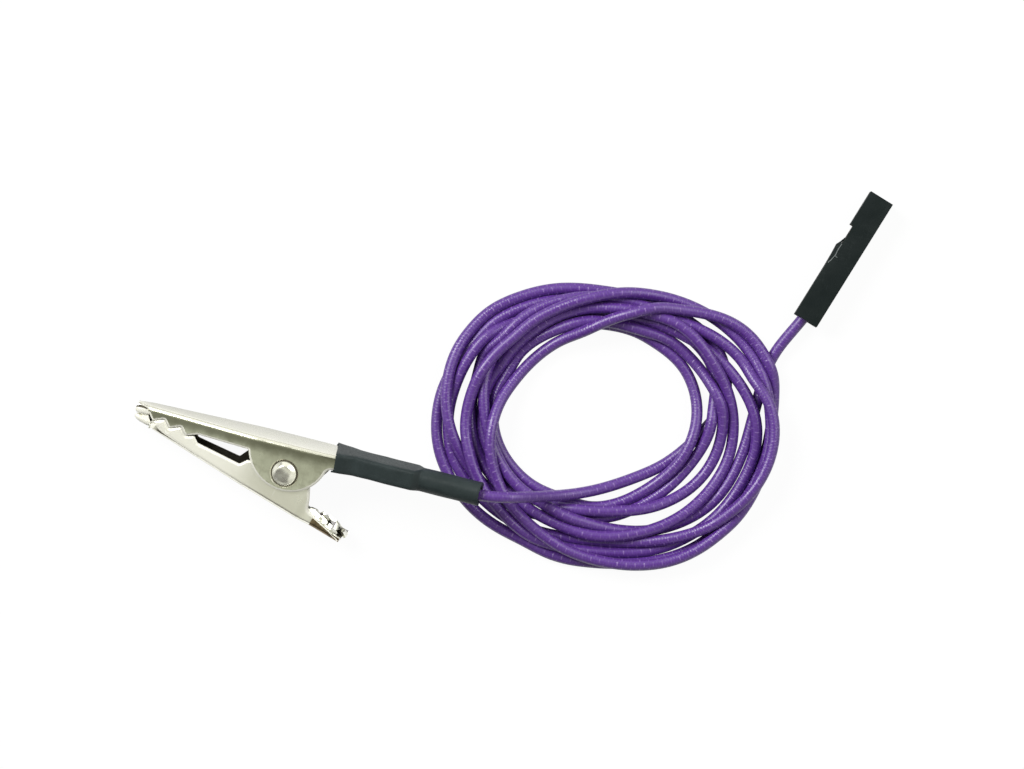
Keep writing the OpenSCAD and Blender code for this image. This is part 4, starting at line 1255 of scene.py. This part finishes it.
def build_tail_filling():
    """Solder and bared strands in the tail's channel."""
    finish_piece(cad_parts["solder_joint"], None, "solder", "solder")
    twisted_bundle("clip_end_bundle", *TAIL_STRANDS, clip_frame(), "clip_end_strands")


# ---- Connector ------------------------------------------------------------------------------

HOUSING_WALL, FRONT_WALL, PIN_HOLE = 0.3, 0.8, 0.5      # PIN_HOLE is half the hole's width
FUNNEL = [(-0.3, 0.44), (0.3, 0.82)]    # the hole's lead-in: [along from the front, half width]
WINDOW_AT, WINDOW_LENGTH = 3.75, 2.05   # the window's end, back from the pin's end; its length
TONGUE, TONGUE_SLIT, TONGUE_RUN = 1.5, 0.14, 3.2        # the latch's width, side gaps and length
# Side of the latch: [along from the window, off the cavity (inner) or the face (outer)]
LATCH_INNER = [(-3.25, 0.0), (-0.35, 0.08), (0.85, -0.04)]
LATCH_OUTER = [(0.12, -0.06), (-0.25, 0.12), (-1.2, 0.06), (-3.25, 0.0)]
# Pale lines beside the latch, painted highlights along its edge: [along from its tip, in from the
# window's face]
PALE_GLINTS = [[(-0.05, 0.3), (-0.7, 0.27), (-1.3, 0.33), (-1.9, 0.22), (-2.3, 0.1)],
         [(-1.3, 0.33), (-1.42, 0.5), (-1.36, 0.6)]]
PALE_GLINT_RADIUS = 0.035


def build_connector():
    """The housing with its window, latch tongue and pin opening; its socket and strands."""
    _, wire, _ = settings()
    long, w, half = wire.housing_length, wire.housing, wire.housing / 2
    hollow, slot = half - HOUSING_WALL, TONGUE / 2 + TONGUE_SLIT
    back, front = long - WINDOW_AT - WINDOW_LENGTH, long - WINDOW_AT
    shell = block((0, -half, -half), (long, half, half))
    cut(shell, block((-0.1, -hollow, -hollow), (long - FRONT_WALL, hollow, hollow)))
    cut(shell, block((long - 1.0, -PIN_HOLE, -PIN_HOLE), (long + 0.1, PIN_HOLE, PIN_HOLE)))
    cut(shell, ring_object("cutter", [[(long + x, -y, -y), (long + x, y, -y), (long + x, y, y),
                                       (long + x, -y, y)] for x, y in FUNNEL]))
    cut(shell, block((back, -w, hollow - 0.02), (front, w, w)))
    cut(shell, block((back - TONGUE_RUN, -slot, 0.5), (back + 0.01, slot, w)))
    applied(rounded(shell, 0.07, 3))
    profile = [(x, hollow + 0.02 + z) for x, z in LATCH_INNER]
    profile += [(x, half + z) for x, z in LATCH_OUTER]
    sides = [[(back + x, side * TONGUE / 2, z) for x, z in profile] for side in (-1, 1)]
    parts = [shell, applied(rounded(ring_object("latch", sides), 0.05))]
    # Thin pale tubes along the latch's edge, painted highlights.
    for line in PALE_GLINTS:
        path = [Vector((back + x, -half - 0.005, half - z)) for x, z in line]
        rings = tube_rings(path, PALE_GLINT_RADIUS, 6, up=Vector((0, 1, 0)))
        parts.append(all_of(ring_object("burr", rings), finish=1))
    shell = settle(joined(parts, "connector_shell"), housing_frame(), crease=40.0)
    finish_piece(shell, UPPER, "housing_plastic", "housing burr", "connector_housing")
    finish_piece(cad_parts["socket_contact"], None, "contact_metal", "contact")
    twisted_bundle("contact_end_bundle", *SOCKET_STRANDS, housing_frame(), "contact_end_strands")


# ---- Stage ----------------------------------------------------------------------------------

# The camera: what it looks at, its turn in degrees, the width that it sees, and its height, in mm
VIEW_AT, VIEW_TURN, VIEW_WIDTH, VIEW_DISTANCE = (17.65, 14.08, 2.0), 14.0, 99.4, 600.0
SENSOR = 36.0
LIGHTS_AIM = (0.02, 0.012, 0.0)
# [name, place and size in m, power in W]
LIGHTS = [("key_light", (-0.64, 0.32, 0.66), 0.55, 9.0),
          ("fill_light", (0.5, 0.4, 0.6), 0.7, 3.1)]


def build_camera():
    """A camera straight above the lead, with a long lens."""
    data = bpy.data.cameras.new("camera")
    data.sensor_width, data.lens = SENSOR, SENSOR * (VIEW_DISTANCE - VIEW_AT[2]) / VIEW_WIDTH
    data.clip_start, data.clip_end = 0.01, 10.0
    camera = linked("camera", data)
    camera.location = (VIEW_AT[0] * MM, VIEW_AT[1] * MM, VIEW_DISTANCE * MM)
    camera.rotation_euler = (0, 0, math.radians(VIEW_TURN))
    bpy.context.scene.camera = camera


def soft_light(name, at, size, power):
    """A soft area light that points at the lead."""
    data = bpy.data.lights.new(name, "AREA")
    data.shape, data.size, data.energy = "DISK", size, power
    light = linked(name, data)
    light.location = at
    aim = Vector(LIGHTS_AIM) - Vector(at)
    light.rotation_euler = aim.to_track_quat("-Z", "Y").to_euler()


# The sky by the sine of the height above the horizon: a bright wall all round, a dimmer ceiling
SKY_BANDS = [(0.0, (0.05, 0.04, 0.03, 1)), (0.1, (0.4, 0.38, 0.32, 1)), (0.16, (1, 1, 0.93, 1)),
             (0.62, (1, 1, 0.93, 1)), (0.78, (0.62, 0.63, 0.54, 1)), (0.92, (0.5, 0.5, 0.42, 1)),
             (1.0, (0.12, 0.12, 0.09, 1))]
SKY_LIGHT = 0.32    # share of the sky's light on dull surfaces; the rest comes from the two lights
# Dark openings in that wall, in degrees: [direction from +X, height, half width, soft edge]
OPENINGS = [(-108.0, 12.0, 32.0, 6.0), (150.0, 6.0, 22.0, 6.0)]
OPENING_TONE = (0.035, 0.03, 0.02, 1.0)
FLOOR_HALF, FLOOR_AT = 4.0, -0.00002
FLOOR_GLOW = 0.95   # how white the floor looks
NEAR_FLOOR = 4.5    # within this many mm of the lead, the floor dims in its reflections


def seen_directly(graph):
    """1 for the camera, gloss and glass, 0 for light on dull surfaces; and the rays themselves."""
    rays = graph.node("ShaderNodeLightPath").outputs
    mirrored = graph.math("MAXIMUM", rays["Is Glossy Ray"], rays["Is Transmission Ray"])
    return graph.math("MAXIMUM", rays["Is Camera Ray"], mirrored), rays


def build_floor():
    """A plain floor that looks white and still takes the lead's shadow."""
    corners = ((-1, -1), (1, -1), (1, 1), (-1, 1))
    points = [(FLOOR_HALF * x, FLOOR_HALF * y, FLOOR_AT) for x, y in corners]
    floor = mesh_object("floor", points, [(0, 1, 2, 3)])
    material, graph, shader = new_material("floor_white")
    shader["Base Color"].default_value = (0.06, 0.06, 0.06, 1.0)
    shader["Roughness"].default_value = 0.9
    shader["Specular IOR Level"].default_value = 0.0
    shader["Emission Color"].default_value = (1.0, 1.0, 1.0, 1.0)
    shown, rays = seen_directly(graph)
    free = graph.node("ShaderNodeAmbientOcclusion", {"Distance": NEAR_FLOOR * MM}, samples=8)
    dimmed = graph.times(rays["Is Glossy Ray"], graph.minus(1.0, free.outputs["AO"]))
    shown = graph.times(shown, graph.minus(1.0, dimmed))
    graph.feed(shader["Emission Strength"], graph.times(shown, FLOOR_GLOW))
    floor.data.materials.append(material)


def build_sky():
    """A soft sky: bands of brightness with dark openings, which the metal mirrors."""
    world = bpy.data.worlds.new("sky")
    world.use_nodes = True
    bpy.context.scene.world = world
    graph = Graph(world.node_tree)
    sky = world.node_tree.nodes["Background"].inputs
    towards = graph.node("ShaderNodeTexCoord").outputs["Generated"]
    bands = graph.node("ShaderNodeValToRGB", {0: graph.split(towards)[2]})
    ends = bands.color_ramp.elements
    for element, (position, tone) in zip(ends, (SKY_BANDS[0], SKY_BANDS[-1])):
        element.position, element.color = position, tone
    for position, tone in SKY_BANDS[1:-1]:
        ends.new(position).color = tone
    seen = bands.outputs["Color"]
    for turn, height, spread, soft in OPENINGS:
        a, b = math.radians(turn), math.radians(height)
        middle = (math.cos(a) * math.cos(b), math.sin(a) * math.cos(b), math.sin(b))
        near = graph.node("ShaderNodeVectorMath", {0: towards, 1: middle}, operation="DOT_PRODUCT")
        low, high = (math.cos(math.radians(spread + d)) for d in (soft, -soft))
        seen = graph.mix(graph.ramp(near.outputs["Value"], low, high), seen, OPENING_TONE)
    graph.feed(sky["Color"], seen)
    shown = seen_directly(graph)[0]
    graph.feed(sky["Strength"], graph.ramp(shown, 0.0, 1.0, SKY_LIGHT, 1.0))


def build_stage():
    """A pale floor, a soft sky and two soft lights."""
    build_floor()
    build_sky()
    for row in LIGHTS:
        soft_light(*row)
    bpy.context.scene.view_settings.view_transform = "Standard"


# ---- The add-on -----------------------------------------------------------------------------

class CLIPLEAD_OT_camera(bpy.types.Operator):
    """Sets up the camera above the lead"""
    bl_idname = "cliplead.camera"
    bl_label = "Camera"

    def execute(self, context):
        build_camera()
        return {"FINISHED"}


class CLIPLEAD_OT_wire(bpy.types.Operator):
    """Lays the wire and lets its turns settle"""
    bl_idname = "cliplead.wire"
    bl_label = "Wire"

    def execute(self, context):
        build_wire()
        return {"FINISHED"}


class CLIPLEAD_OT_jaws(bpy.types.Operator):
    """Bends the two toothed jaws"""
    bl_idname = "cliplead.jaws"
    bl_label = "Jaws"

    def execute(self, context):
        build_upper_jaw()
        build_lower_jaw()
        return {"FINISHED"}


class CLIPLEAD_OT_pivot(bpy.types.Operator):
    """Sets the rivet and winds the torsion spring"""
    bl_idname = "cliplead.pivot"
    bl_label = "Rivet and spring"

    def execute(self, context):
        build_rivet()
        build_spring()
        return {"FINISHED"}


class CLIPLEAD_OT_sleeve(bpy.types.Operator):
    """Shrinks the sleeve over the solder joint"""
    bl_idname = "cliplead.sleeve"
    bl_label = "Sleeve and solder joint"

    def execute(self, context):
        build_sleeve()
        build_tail_filling()
        return {"FINISHED"}


class CLIPLEAD_OT_connector(bpy.types.Operator):
    """Moulds the connector's housing round its crimp socket"""
    bl_idname = "cliplead.connector"
    bl_label = "Connector"

    def execute(self, context):
        build_connector()
        return {"FINISHED"}


class CLIPLEAD_OT_stage(bpy.types.Operator):
    """Puts down the floor and hangs the lights"""
    bl_idname = "cliplead.stage"
    bl_label = "Stage"

    def execute(self, context):
        build_stage()
        return {"FINISHED"}


STEPS = (CLIPLEAD_OT_camera, CLIPLEAD_OT_connector, CLIPLEAD_OT_wire, CLIPLEAD_OT_jaws,
         CLIPLEAD_OT_pivot, CLIPLEAD_OT_sleeve, CLIPLEAD_OT_stage)


class CLIPLEAD_PT_panel(bpy.types.Panel):
    """Lists the lead's values and its build steps"""
    bl_idname = "CLIPLEAD_PT_panel"
    bl_label = "Clip lead"
    bl_space_type = "VIEW_3D"
    bl_region_type = "UI"
    bl_category = "Clip lead"

    def draw(self, context):
        for group in settings():
            box = self.layout.box()
            for key in group.__annotations__:
                box.prop(group, key)
        for step in STEPS:
            self.layout.operator(step.bl_idname)


GROUPS = {"cliplead_clip": CLIPLEAD_PG_clip, "cliplead_wire": CLIPLEAD_PG_wire,
          "cliplead_colours": CLIPLEAD_PG_colours}


def register():
    for cls in (*GROUPS.values(), *STEPS, CLIPLEAD_PT_panel):
        bpy.utils.register_class(cls)
    for key, cls in GROUPS.items():
        setattr(bpy.types.Scene, key, bpy.props.PointerProperty(type=cls))


def unregister():
    for key in GROUPS:
        delattr(bpy.types.Scene, key)
    for cls in (CLIPLEAD_PT_panel, *reversed(STEPS), *GROUPS.values()):
        bpy.utils.unregister_class(cls)


def main():
    """Builds the whole lead."""
    register()
    for step in STEPS:
        getattr(bpy.ops.cliplead, step.bl_idname.split(".")[1])()


if __name__ == "__main__":
    main()
